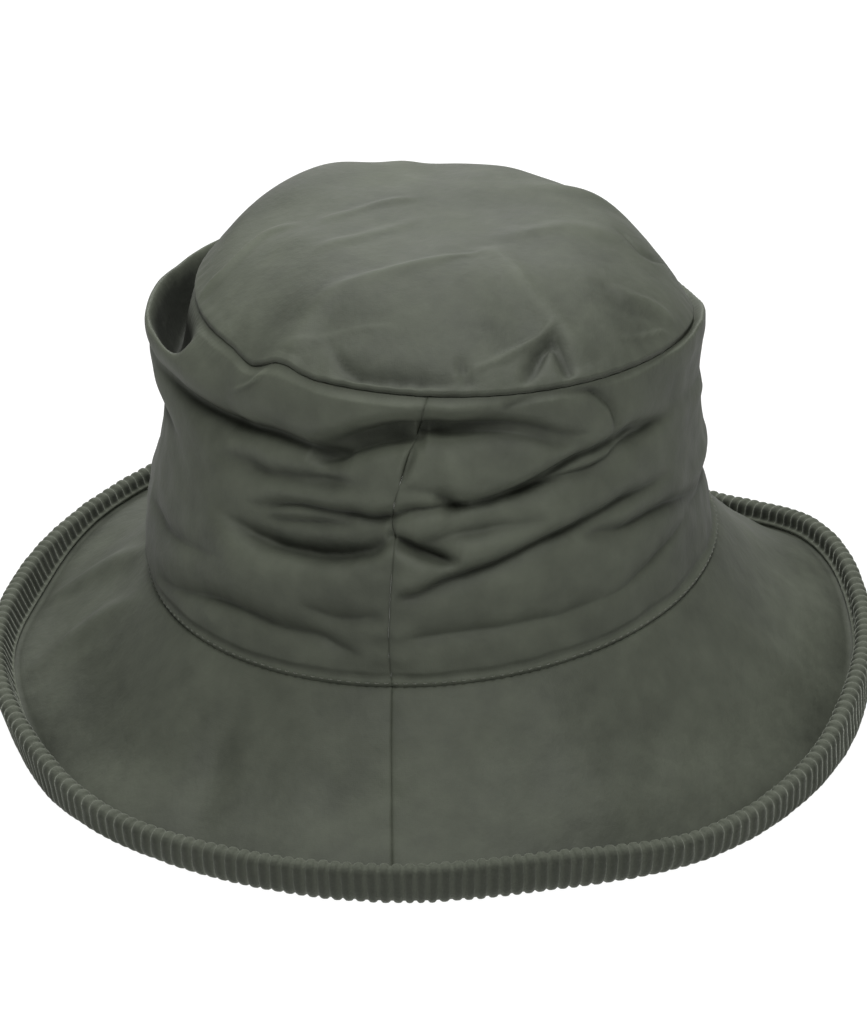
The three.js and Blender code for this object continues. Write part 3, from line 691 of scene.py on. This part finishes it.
def rim_shape(deg):
    """The rim's lean in radians, its top's height, its lift and its reach, on cubic pieces round the hat."""
    table = np.array(RIM_PLACES, float)
    steps = len(table)
    along = (deg - table[0, 0]) % 360 * steps / 360
    first = np.floor(along).astype(int)
    t = (along - first)[..., None]
    before, low, high, after = (table[(first + k) % steps, 1:] for k in (-1, 0, 1, 2))
    rest = 1 - t
    value = (low * (1 + 2 * t) * rest ** 2 + (high - before) / 2 * t * rest ** 2
             + high * t ** 2 * (3 - 2 * t) - (after - low) / 2 * t ** 2 * rest)
    return np.radians(value[..., 0]), *(RIM_HEIGHT * value[..., k] for k in (1, 2, 3))


def brim_line(deg):
    """
    The brim's middle line in the upright plane at an angle. It starts under the wall, slopes straight down to
    touch the circle of the curl, turns round it and ends in the rim, which leans out.
    """
    skin = BRIM_CLOTH / 2 + CLEARANCE + BINDING_CLOTH
    inner = head_seam(deg)
    outer = oval(BRIM_WIDTH, BRIM_LENGTH, deg)
    lean, top, lift, reach = rim_shape(deg)
    width = np.hypot(outer[..., 0] - inner[..., 0], outer[..., 1] - inner[..., 1]) + reach
    start_z = inner[..., 2] - SEAM_GAP - BRIM_CLOTH / 2
    end_x, end_z = width - skin * np.cos(lean), top - skin
    hub_z = CURL_RADIUS + skin - REST_FLAT + lift
    turned = hub_z - CURL_RADIUS * np.sin(lean)
    end_z = np.maximum(end_z, turned + BINDING_CLOTH * np.cos(lean))
    stand = (end_z - turned) / np.cos(lean)
    hub_x = end_x - stand * np.sin(lean) - CURL_RADIUS * np.cos(lean)
    drop = start_z - hub_z
    fall = np.arctan2(drop, hub_x) + np.arcsin(CURL_RADIUS / np.hypot(hub_x, drop))
    return dict(start=start_z, hub=(hub_x, hub_z), end=(end_x, end_z), fall=fall, lean=lean)


def on_curl(line, rise):
    """The middle line's point on the curl where it climbs at an angle, and the way across to its outside."""
    across = (np.sin(rise), -np.cos(rise))
    at = (line["hub"][0] + CURL_RADIUS * across[0], line["hub"][1] + CURL_RADIUS * across[1])
    return at, across


def place_in_plane(deg, x, z):
    """The point x out from the head seam towards the rim's oval and z up, never under the table."""
    inner = head_seam(deg)
    way = oval(BRIM_WIDTH, BRIM_LENGTH, deg) - inner
    size = np.hypot(way[..., 0], way[..., 1])
    return stack(inner[..., 0] + way[..., 0] / size * x, inner[..., 1] + way[..., 1] / size * x,
                 np.maximum(0, z))


def brim_stations(deg_of):
    """
    Rows along the brim's middle line, as (angle, x, z, across x, across z): the lap under the wall, the
    slope, which sags by the sine of its way down, less its waves, ridges and ripples and plus the grooves of
    its seams, the curl in equal turns and the rim's edge.
    """
    rows = []
    deg = deg_of(0)
    line = brim_line(deg)
    rows.append((deg, -CROWN_CLOTH + 0 * deg, line["start"], 0 * deg, -1 + 0 * deg))
    for step in range(SLOPE_ROWS + 1):
        part = step / SLOPE_ROWS
        deg = deg_of(part)
        line = brim_line(deg)
        under = (-np.sin(line["fall"]), -np.cos(line["fall"]))
        touch = (line["hub"][0] + CURL_RADIUS * under[0], line["hub"][1] + CURL_RADIUS * under[1])
        wave = sum(lift * hill(turn_between(at, deg), width) for at, width, lift in BRIM_WAVES)
        sag = (BRIM_HOLLOW - wave * line["start"]) * np.sin(np.pi * part)
        x = touch[0] * part
        z = line["start"] + (touch[1] - line["start"]) * part
        ground = place_in_plane(deg, x, z)
        radius = np.hypot(ground[..., 0], ground[..., 1])
        hold = np.sin(np.pi * part) ** 0.5
        sag = sag - spines(BRIM_SPINES, np.full_like(deg, part), deg, radius)
        sag = sag - hold * cloth_ripples(ground, BRIM_RIPPLES)
        seam = front_seam(0.0) * (1 - part)
        for at in (seam, BACK_SEAM):
            side = np.abs(turn_between(at, deg)) * np.pi / 180 * radius
            sag = sag + SEAM_GROOVE * np.exp(-side / SEAM_GROOVE_WIDTH)
            pucker = np.sin(2 * np.pi * x / BRIM_PUCKER_PITCH)
            sag = sag - BRIM_PUCKER * pucker * hill(side - PUCKER_AWAY, PUCKER_WIDTH) * hold
        turned = ease(part, 0, LAP_TURN)
        across = (under[0] * turned, under[1] * turned - (1 - turned))
        rows.append((deg, x + under[0] * sag, z + under[1] * sag, *across))
    deg = deg_of(1)
    line = brim_line(deg)
    for step in range(1, CURL_ROWS + 1):
        rise = -line["fall"] + (np.pi / 2 - line["lean"] + line["fall"]) * step / CURL_ROWS
        at, across = on_curl(line, rise)
        rows.append((deg, *at, *across))
    across = (np.cos(line["lean"]), -np.sin(line["lean"]))
    rows.append((deg, *line["end"], *across))
    return rows


# Meshes

def add_mesh(name, vertices, quads, triangles, uv, attributes):
    """A smooth-shaded object from arrays: vertices in mm, faces as indices, uv for each face corner in mm."""
    mesh = bpy.data.meshes.new(name)
    loops = np.concatenate([quads.ravel(), triangles.ravel()]).astype(np.int32)
    sizes = np.concatenate([np.full(len(quads), 4), np.full(len(triangles), 3)]).astype(np.int32)
    starts = np.concatenate([[0], np.cumsum(sizes)[:-1]]).astype(np.int32)
    mesh.vertices.add(len(vertices))
    mesh.vertices.foreach_set("co", (vertices * MM).astype(np.float32).ravel())
    mesh.loops.add(len(loops))
    mesh.loops.foreach_set("vertex_index", loops)
    mesh.polygons.add(len(sizes))
    mesh.polygons.foreach_set("loop_start", starts)
    mesh.polygons.foreach_set("use_smooth", np.ones(len(sizes), bool))
    mesh.update(calc_edges=True)
    layer = mesh.uv_layers.new(name="cloth")
    layer.data.foreach_set("uv", (uv * MM).astype(np.float32).ravel())
    for key, values in attributes.items():
        field = mesh.attributes.new(key, "FLOAT", "POINT")
        field.data.foreach_set("value", values.astype(np.float32).ravel())
    mesh.validate()
    piece = bpy.data.objects.new(name, mesh)
    bpy.context.scene.collection.objects.link(piece)
    return piece


def loop_mesh(name, grid, across, along, wrap, **attributes):
    """
    A closed body from section loops. Grid is columns by loop points by 3. Each column's loop closes on
    itself, and the columns close on each other where wrap is true, or else in two flat ends between the
    loop's halves. Across is the uv distance of every column, and along that of every loop point.
    """
    columns, points = grid.shape[:2]
    number = np.arange(columns * points).reshape(columns, points)
    last = columns if wrap else columns - 1
    c = np.arange(last)[:, None]
    p = np.arange(points)[None, :]
    corners = [(c, p), (c + 1, p), (c + 1, p + 1), (c, p + 1)]
    quads = np.stack([number[i % columns, j % points] for i, j in corners], axis=-1).reshape(-1, 4)
    across = np.append(across, across[-1] + (across[-1] - across[-2]))
    along = np.append(along, along[-1] + (along[1] - along[0]))
    uv = np.stack([np.stack(np.broadcast_arrays(across[i], along[j]), axis=-1) for i, j in corners], axis=-2)
    uv = uv.reshape(-1, 2)
    if not wrap:
        half = points // 2
        r = np.arange(half - 1)
        back = points - 1 - r
        for column, ahead in ((0, True), (columns - 1, False)):
            cap = np.stack([number[column, r], number[column, r + 1], number[column, back - 1],
                            number[column, back]], axis=-1)
            cap = cap if ahead else cap[:, ::-1]
            quads = np.concatenate([quads, cap])
            uv = np.concatenate([uv, np.stack([np.zeros(cap.size), along[cap.ravel() % points]], axis=-1)])
    nothing = np.zeros((0, 3), int)
    return add_mesh(name, grid.reshape(-1, 3), quads, nothing, uv, attributes)


def face_out(piece):
    """Turns every face of a closed piece outwards, by the sign of the volume it encloses."""
    mesh = piece.data
    mesh.calc_loop_triangles()
    corners = np.zeros(len(mesh.loop_triangles) * 3, np.int32)
    mesh.loop_triangles.foreach_get("vertices", corners)
    places = np.zeros(len(mesh.vertices) * 3, np.float32)
    mesh.vertices.foreach_get("co", places)
    a, b, c = places.reshape(-1, 3)[corners.reshape(-1, 3)].transpose(1, 0, 2).astype(float)
    if np.einsum("ij,ij->i", a, np.cross(b, c)).sum() < 0:
        mesh.flip_normals()
    return piece


def crown_side(name, side):
    """
    One half of the wall. Columns run from the front seam to the back seam, closer together at the front, and
    rows are closer together near both seams. The attribute of the cloth's tone says how far the cloth stands
    out of its own smoothed shape, so that its folds are darker as painted shade, less the valley's depth,
    which is painted shade in the valley, and more on the welt.
    """
    t = np.linspace(0, 1, WALL_COLUMNS)[:, None]
    share = np.linspace(0, 1, WALL_ROWS)[None, :]
    share = share - ROW_CROWDING / (2 * np.pi) * np.sin(2 * np.pi * share)
    gap = np.degrees(SEAM_GAP / 2 / (TIP_WIDTH / 2))
    first = front_seam(share) + side * gap
    deg = first + (side * (BACK_SEAM - gap) - first) * crowded(t)
    share = np.broadcast_to(share, deg.shape)
    outer = wall_point(deg, share)
    inner = cloth_back(outer, deg, share, side)
    grid = np.concatenate([outer, inner[:, ::-1]], axis=1)
    plain = head_seam(deg) + (tip_plane(deg, np.ones_like(share)) - head_seam(deg)) * share[..., None]
    stood = np.einsum("...i,...i", outer - plain, outward(deg))
    smooth = stood.copy()
    for _ in range(SMOOTHING):
        smooth[1:-1, 1:-1] = (smooth[:-2, 1:-1] + smooth[2:, 1:-1] + smooth[1:-1, :-2] + smooth[1:-1, 2:]) / 4
    valley = ridge_moves(deg, share)[2]
    # Painted shade: the cloth is darker in its folds and in the valley behind the ridge, paler where it
    # stands out.
    raised = np.clip((stood - smooth) / WALL_STEP, -1.2, 1) - (valley / VALLEY_PAINTED_SHADE_STEP).clip(0, 3)
    raised += WELT_PALE * np.sin(np.pi * np.clip(share * CROWN_DEPTH / WELT_HEIGHT, 0, 1))
    raised = raised.clip(-3, 1)
    raised = np.concatenate([raised, raised[:, ::-1]], axis=1)
    across = deg[:, 0] * np.pi / 180 * HEAD_WIDTH / 2
    along = np.concatenate([share[0], 2 - share[0][::-1]]) * CROWN_DEPTH
    return face_out(loop_mesh(name, grid, across, along, False, raised=raised))


def crown_tip(name):
    """
    The oval tip as rings from the seam to the middle, inner face and outer face, each with a middle point.
    The attribute of the cloth's tone follows the relief, less a soft hill at the front that is painted shade.
    """
    deg = np.arange(TIP_COLUMNS)[:, None] * 360 / TIP_COLUMNS
    deg = turn_between(0, deg)
    radius = (1 - np.linspace(0, 1, TIP_RINGS + 1)[:-1] ** RING_CROWDING)[None, :]
    outer = tip_point(deg, radius)
    inner = tip_point(deg, radius, under=True)
    rings = np.concatenate([inner[:, ::-1], outer], axis=1)
    columns, points = rings.shape[:2]
    top = tip_point(0.0, 0.0)
    bottom = tip_point(0.0, 0.0, under=True)
    number = np.arange(columns * points).reshape(columns, points)
    after = np.roll(number, -1, axis=0)
    quads = np.stack([number[:, :-1], after[:, :-1], after[:, 1:], number[:, 1:]], axis=-1).reshape(-1, 4)
    low, high = columns * points, columns * points + 1
    fans = np.concatenate([
        np.stack([number[:, -1], after[:, -1], np.full(columns, high)], axis=-1),
        np.stack([after[:, 0], number[:, 0], np.full(columns, low)], axis=-1),
    ])
    vertices = np.concatenate([rings.reshape(-1, 3), [bottom, top]])
    uv = np.concatenate([vertices[quads.ravel()][:, :2], vertices[fans.ravel()][:, :2]])
    raised = np.clip(tip_relief(*np.broadcast_arrays(deg, radius)) / TIP_STEP, -1.2, 1)
    size, width, middle, reach = TIP_FRONT_PAINTED_SHADE
    # Painted shade: the front of the tip is darker.
    raised = raised - size * hill(deg, width) * hill(radius - middle, reach)
    raised = np.concatenate([np.concatenate([raised[:, ::-1], raised], axis=1).ravel(), [0, 0]])
    return face_out(add_mesh(name, vertices, quads, fans, uv, dict(raised=raised)))


def brim_half(name, side):
    """
    One half of the brim: the rows of the middle line, moved half a cloth to each side of it. The attribute
    of the cloth's tone is low in the corner inside the rim, as painted shade.
    """
    t = crowded(np.linspace(0, 1, BRIM_COLUMNS))
    gap = np.degrees(SEAM_GAP / 2 / (HEAD_WIDTH / 2))

    def deg_of(part):
        """The columns' angles at a part of the slope, where the front seam turns back to the middle."""
        first = front_seam(0.0) * (1 - part) + side * gap
        return first + (side * (BACK_SEAM - gap) - first) * t

    faces = []
    for half_cloth in (-BRIM_CLOTH / 2, BRIM_CLOTH / 2):
        face = [place_in_plane(deg, x + half_cloth * ax, z + half_cloth * az)
                for deg, x, z, ax, az in brim_stations(deg_of)]
        faces.append(np.stack(face, axis=1))
    upper, under = faces
    grid = np.concatenate([upper, under[:, ::-1]], axis=1)
    steps = np.linalg.norm(np.diff(grid, axis=1), axis=-1).mean(axis=0)
    along = np.append(0, np.cumsum(steps))
    across = deg_of(0.5) * np.pi / 180 * (HEAD_WIDTH + BRIM_WIDTH) / 4
    rows = upper.shape[1]
    size, inside, width = RIM_CORNER_PAINTED_SHADE
    raised = np.zeros(grid.shape[:2])
    # Painted shade: the brim is darker in the corner inside its rim.
    raised[:, :rows] -= size * hill(along[rows - 1] - inside - along[:rows], width)
    return face_out(loop_mesh(name, grid, across, along, False, raised=raised))


def brim_binding(name):
    """
    The corduroy ring, folded over the rim. Its section runs up the outer side from under the curl, round the
    top edge and down the inner side. Eight columns make each rib: a rounded ridge and a narrow valley, whose
    place wanders a little along the rib. The hidden inner face keeps every third row. Its attribute of
    darkness is more on a rib than in a valley, more again inside the rim as painted shade, and none on the
    rim's crest as a painted highlight.
    """
    rib = np.arange(RIBS)[:, None]
    part = np.array(RIB_PLACES)[None, :]
    deg = ((rib + part) * 360 / RIBS).ravel()[:, None]
    height = np.tile(RIB_HEIGHTS, RIBS)[:, None]
    line = brim_line(deg)
    near = BRIM_CLOTH / 2 + CLEARANCE
    far = near + BINDING_CLOTH
    upright = np.pi / 2 - line["lean"]
    low = BINDING_TUCK * line["fall"]
    under_rows, stand_rows, edge_rows, inner_rows = BINDING_ROWS
    rise = np.linspace(0, 1, under_rows)[None, :] * (upright + low) - low
    at, across = on_curl(line, rise)
    outside = np.stack(np.broadcast_arrays(at[0], at[1], across[0], across[1]), axis=-1)
    up = (np.sin(line["lean"]), np.cos(line["lean"]))
    side = (np.cos(line["lean"]), -np.sin(line["lean"]))
    foot = (outside[:, -1:, 0], outside[:, -1:, 1])
    shares = np.linspace(0, 1, stand_rows)[None, 1:]
    stand = [foot[k] + (line["end"][k] - foot[k]) * shares for k in (0, 1)]
    wall = np.stack(np.broadcast_arrays(stand[0], stand[1], side[0], side[1]), axis=-1)
    bend = np.linspace(0, np.pi, edge_rows)[None, 1:]
    round_way = [side[k] * np.cos(bend) + up[k] * np.sin(bend) for k in (0, 1)]
    over = np.stack(np.broadcast_arrays(*line["end"], *round_way), axis=-1)
    inside = wall[:, :-1][:, ::-1] * [1, 1, -1, -1]
    turns = np.linspace(0, 1, inner_rows)[None, :] * (upright - INNER_EDGE)
    at, across = on_curl(line, upright - turns)
    tuck = np.stack(np.broadcast_arrays(at[0], at[1], -across[0], -across[1]), axis=-1)
    profile = np.concatenate([outside, wall, over, inside, tuck], axis=1)
    far_x = profile[..., 0] + profile[..., 2] * far
    far_z = profile[..., 1] + profile[..., 3] * far
    steps = np.hypot(np.diff(far_x, axis=1), np.diff(far_z, axis=1)).mean(axis=0)
    along = np.append(0, np.cumsum(steps))
    ends = ease(along, 0, BINDING_END) * ease(along[-1] - along, 0, BINDING_END)
    ground = place_in_plane(deg, far_x, far_z)
    moved = deg + cloth_ripples(ground, RIB_WANDER) * 360 / RIBS * RIB_WANDER_SHARE
    plump = 1 + cloth_ripples(ground, RIB_PLUMPNESS)
    relief = ((RIB_OUT + VALLEY_IN) * height * plump - VALLEY_IN) * ends
    outer = place_in_plane(moved, far_x + profile[..., 2] * relief, far_z + profile[..., 3] * relief)
    last = profile.shape[1] - 1
    kept = np.append(np.arange(0, last, UNDER_ROWS_KEPT), last)
    hidden = profile[:, kept]
    inner = place_in_plane(moved[:, kept], hidden[..., 0] + hidden[..., 2] * near,
                           hidden[..., 1] + hidden[..., 3] * near)
    grid = np.concatenate([outer, inner[:, ::-1]], axis=1)
    # Painted highlight on the rim's crest, which faces up, and painted shade inside the rim, which faces in.
    crest = ease(profile[..., 3], *PAINTED_HIGHLIGHT_FACES)
    within = ease(-profile[..., 2], *PAINTED_SHADE_FACES)
    dark = (DARK_ALL + DARK_RIBS * height + PAINTED_SHADE_INSIDE * within) * (1 - crest)
    dark = np.concatenate([dark, np.zeros(inner.shape[:2])], axis=1)
    back = along[-1] + 1 + along[kept]
    across_uv = deg[:, 0] * np.pi / 180 * BRIM_WIDTH / 2
    return face_out(loop_mesh(name, grid, across_uv, np.append(along, back), True, dark=dark))


# Stitches

def thread_row(name, at, along, out, length, radius):
    """
    A row of stitches. Each is a bent tube of seven six-sided rings: over its length its middle line stands
    out by the radius times 1.6 cosines less 0.9, so that its ends dip into the cloth, and it thins to about
    half at its ends.
    """
    rings, sides = 7, 6
    s = np.linspace(-0.5, 0.5, rings)[None, :, None]
    turn = np.arange(sides)[None, None, :] * 2 * np.pi / sides
    across = np.cross(along, out)
    lift = radius * (1.6 * np.cos(np.pi * s) - 0.9)
    thin = radius * np.sqrt(np.clip(1.02 - (2 * s) ** 2 * 0.8, 0.04, None))
    place = (at[:, None, None, :] + along[:, None, None, :] * (s * length)[..., None]
             + out[:, None, None, :] * (lift + thin * np.sin(turn))[..., None]
             + across[:, None, None, :] * (thin * np.cos(turn))[..., None])
    count = len(at)
    number = np.arange(count * rings * sides).reshape(count, rings, sides)
    r = np.arange(rings - 1)[None, :, None]
    n = np.arange(count)[:, None, None]
    k = np.arange(sides)[None, None, :]
    quads = np.stack([number[n, r, k], number[n, r, (k + 1) % sides], number[n, r + 1, (k + 1) % sides],
                      number[n, r + 1, k]], axis=-1).reshape(-1, 4)
    k = np.arange(1, sides - 1)[None, :]
    n = np.arange(count)[:, None]
    triangles = np.concatenate([
        np.stack([number[n, ring, 0 * k], number[n, ring, k + first], number[n, ring, k + 1 - first]],
                 axis=-1).reshape(-1, 3)
        for ring, first in ((0, 1), (rings - 1, 0))
    ])
    vertices = place.reshape(-1, 3)
    uv = np.concatenate([vertices[quads.ravel()][:, :2], vertices[triangles.ravel()][:, :2]])
    return face_out(add_mesh(name, vertices, quads, triangles, uv, {}))


def head_seam_stitches(name):
    """Stitches at equal angles on a line round the wall's foot, facing straight out, along the line."""
    deg = np.arange(0, 360, 360 / round(np.pi * (HEAD_WIDTH + HEAD_LENGTH) / 2 / STITCH_PITCH))

    def line_of(angles):
        """The wall at the stitches' height."""
        return wall_point(angles, STITCH_HEIGHT / CROWN_DEPTH)

    at = line_of(deg)
    ahead = line_of(deg + 0.2) - line_of(deg - 0.2)
    ahead /= np.linalg.norm(ahead, axis=1)[:, None]
    out = outward(deg)
    out = out - ahead * np.einsum("ij,ij->i", out, ahead)[:, None]
    out /= np.linalg.norm(out, axis=1)[:, None]
    return thread_row(name, at, ahead, out, STITCH_LENGTH, STITCH_RADIUS)


# Finishes

class Nodes:
    """A material's nodes, with short calls that add and link them."""

    def __init__(self, name):
        self.material = bpy.data.materials.new(name)
        self.material.use_nodes = True
        self.tree = self.material.node_tree
        self.shader = self.tree.nodes["Principled BSDF"]
        self.place = self.tree.nodes.new("ShaderNodeTexCoord")

    def add(self, kind, inputs=None, **settings):
        """A node of a kind, with its settings and its input sockets."""
        node = self.tree.nodes.new("ShaderNode" + kind)
        for key, value in settings.items():
            setattr(node, key, value)
        for key, value in (inputs or {}).items():
            self.put(node, key, value)
        return node

    def put(self, node, key, value):
        """Links a socket to an input, or sets the input to a plain value."""
        if isinstance(value, bpy.types.NodeSocket):
            self.tree.links.new(value, node.inputs[key])
        else:
            node.inputs[key].default_value = value

    def noise(self, scale, detail):
        """Soft noise on the piece's own coordinates."""
        return self.add("TexNoise", {"Vector": self.place.outputs["Object"], "Scale": scale, "Detail": detail,
                                     "Roughness": 0.6}).outputs["Fac"]

    def spread(self, value, low, high, to_low, to_high):
        """Value taken from the range low to high over to the range to_low to to_high, and kept inside it."""
        return self.add("MapRange", {"Value": value, "From Min": low, "From Max": high, "To Min": to_low,
                                     "To Max": to_high}).outputs["Result"]

    def math(self, operation, a, b):
        """One sum of two values."""
        return self.add("Math", {0: a, 1: b}, operation=operation).outputs[0]

    def mix(self, amount, a, b):
        """Colour a where the amount is 0 and colour b where it is 1."""
        node = self.add("Mix", data_type="RGBA", blend_type="MIX")
        self.put(node, 0, amount)
        self.put(node, 6, a)
        self.put(node, 7, b)
        return node.outputs[2]

    def bump(self, height, distance, strength, normal=None):
        """A surface's tilt from a height, over the tilt that it has already."""
        inputs = {"Height": height, "Distance": distance, "Strength": strength}
        if normal:
            inputs["Normal"] = normal
        return self.add("Bump", inputs).outputs["Normal"]

    def finish(self, **inputs):
        """Sets the shader's sockets and gives the material."""
        for key, value in inputs.items():
            self.put(self.shader, key.replace("_", " "), value)
        return self.material


def waxed_cotton():
    """Olive waxed cotton: cloudy wax, a fine plain weave, small wax wrinkles, paler where the cloth stands
    out, with painted shade in its folds, its valley, the tip's front and the rim's corner.
    """
    n = Nodes("waxed cotton olive")
    cloud = n.noise(28, 4)
    blotch = n.noise(140, 3)
    raised = n.add("Attribute", attribute_name="raised").outputs["Fac"]
    tone = n.math("ADD", n.spread(cloud, 0.3, 0.7, -0.9, 0.9), n.spread(blotch, 0.3, 0.7, -0.4, 0.4))
    # The attribute paints shade in the folds, the valley, the tip's front and the corner inside the rim.
    tone = n.math("ADD", tone, n.spread(raised, -3, 1, -2.7, 0.9))
    tone = n.spread(tone, -3.1, 1.4, 0, 1)
    colour = n.mix(tone, (0.016, 0.018, 0.0135, 1), (0.081, 0.09, 0.0666, 1))
    uv = n.place.outputs["UV"]
    weave = n.math("ADD", *(n.add("TexWave", {"Vector": uv, "Scale": 520.0, "Distortion": 0.6, "Detail": 1.0},
                                  bands_direction=way).outputs["Fac"] for way in "XY"))
    wrinkle = n.noise(240, 4)
    normal = n.bump(weave, 0.00004, 0.12)
    normal = n.bump(wrinkle, 0.0006, 0.5, normal)
    rough = n.spread(cloud, 0.3, 0.7, 0.65, 0.75)
    return n.finish(Base_Color=colour, Roughness=rough, Specular_IOR_Level=0.3, Normal=normal)


def corduroy():
    """Olive corduroy with a soft sheen: pale in the valleys and, as a painted highlight, on the rim's crest;
    dark on the ribs, and darker inside the rim as painted shade.
    """
    n = Nodes("corduroy olive")
    darkness = n.add("Attribute", attribute_name="dark").outputs["Fac"]
    cloud = n.noise(60, 4)
    pile = n.noise(1400, 2)
    tone = n.math("ADD", n.spread(cloud, 0.3, 0.7, -0.3, 0.3), n.spread(pile, 0.3, 0.7, -0.3, 0.3))
    tone = n.spread(tone, -0.6, 0.6, 0, 1)
    dark = n.mix(tone, (0.011, 0.013, 0.009, 1), (0.017, 0.019, 0.014, 1))
    pale = n.mix(tone, (0.055, 0.061, 0.046, 1), (0.082, 0.09, 0.069, 1))
    # The attribute mixes in the ribs' dark pile, painted shade inside the rim and a painted highlight on the
    # crest.
    colour = n.mix(n.spread(darkness, 0, 1, 0, 1), pale, dark)
    normal = n.bump(pile, 0.0003, 0.7)
    return n.finish(Base_Color=colour, Roughness=0.85, Specular_IOR_Level=0.25, Sheen_Weight=0.35,
                    Sheen_Roughness=0.4, Sheen_Tint=(0.8, 0.85, 0.72, 1), Normal=normal)


def thread():
    """Olive sewing thread, a little paler than the cloth, twisted."""
    n = Nodes("sewing thread olive")
    twist = n.add("TexWave", {"Vector": n.place.outputs["Object"], "Scale": 900.0},
                  bands_direction="DIAGONAL").outputs["Fac"]
    colour = n.mix(n.spread(twist, 0, 1, 0, 1), (0.06, 0.066, 0.05, 1), (0.115, 0.125, 0.096, 1))
    return n.finish(Base_Color=colour, Roughness=0.7, Sheen_Weight=0.1)


def floor_finish():
    """A white table that is lit from within, as for a photograph without a shadow."""
    n = Nodes("light table")
    return n.finish(Base_Color=(0.1, 0.1, 0.1, 1), Roughness=1.0, Specular_IOR_Level=0.0,
                    Emission_Color=(1, 1, 1, 1), Emission_Strength=1.0)


# The hat

cotton = waxed_cotton()
ribbed_cloth = corduroy()
yarn = thread()

dressed = (
    (crown_tip("tip_cloth"), "crown_tip", cotton, "waxed_cotton"),
    (crown_side("wall_left", -1), "crown_side_left", cotton, "waxed_cotton"),
    (crown_side("wall_right", 1), "crown_side_right", cotton, "waxed_cotton"),
    (brim_half("brim_cloth_left", -1), "brim_left", cotton, "waxed_cotton"),
    (brim_half("brim_cloth_right", 1), "brim_right", cotton, "waxed_cotton"),
    (brim_binding("ribbed_binding"), "brim_binding", ribbed_cloth, "corduroy"),
)
for piece, node, finish, slot in dressed:
    piece.data.materials.append(finish)
    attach(piece, "root")
    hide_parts(node)

stitches = head_seam_stitches("base_seam_stitches")
stitches.data.materials.append(yarn)
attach(stitches, "root")

# Floor, light and camera

FLOOR_REACH = 6.0
FLOOR_HEIGHT = -0.0003
floor_mesh = bpy.data.meshes.new("floor")
corners = [(x * FLOOR_REACH, y * FLOOR_REACH, FLOOR_HEIGHT) for x, y in ((-1, -1), (1, -1), (1, 1), (-1, 1))]
floor_mesh.from_pydata(corners, [], [(0, 1, 2, 3)])
floor = bpy.data.objects.new("floor", floor_mesh)
bpy.context.scene.collection.objects.link(floor)
floor.data.materials.append(floor_finish())


def soft_light(name, place, target, size, power):
    """A square area light that faces a point."""
    lamp = bpy.data.lights.new(name, "AREA")
    lamp.shape = "SQUARE"
    lamp.size = size
    lamp.energy = power
    holder = bpy.data.objects.new(name, lamp)
    holder.location = place
    holder.rotation_euler = (Vector(target) - Vector(place)).to_track_quat("-Z", "Y").to_euler()
    bpy.context.scene.collection.objects.link(holder)


soft_light("top_back", (0.0, 0.5, 1.7), (0, 0, 0.05), 1.0, 26)
soft_light("key", (0.1, -0.8, 1.5), (0, 0, 0.06), 0.7, 20)
soft_light("back", (-0.3, 1.6, 0.75), (0, 0, 0.1), 0.8, 9.5)

world = bpy.data.worlds.new("studio")
world.use_nodes = True
world.node_tree.nodes["Background"].inputs["Color"].default_value = (1, 1, 1, 1)
world.node_tree.nodes["Background"].inputs["Strength"].default_value = 0.12
bpy.context.scene.world = world
bpy.context.scene.view_settings.view_transform = "Standard"

# The photograph's viewpoint in metres, its line of sight and its long lens
EYE = Vector((0.1029, -1.2525, 0.6626))
LOOK = Vector((-0.0738, 0.8977, -0.4344))
LENS = 159.0
camera_lens = bpy.data.cameras.new("camera")
camera_lens.lens = LENS
camera_lens.sensor_width = 36
camera_lens.clip_end = 20
camera = bpy.data.objects.new("camera", camera_lens)
camera.location = EYE
camera.rotation_euler = LOOK.to_track_quat("-Z", "Y").to_euler()
bpy.context.scene.collection.objects.link(camera)
bpy.context.scene.camera = camera
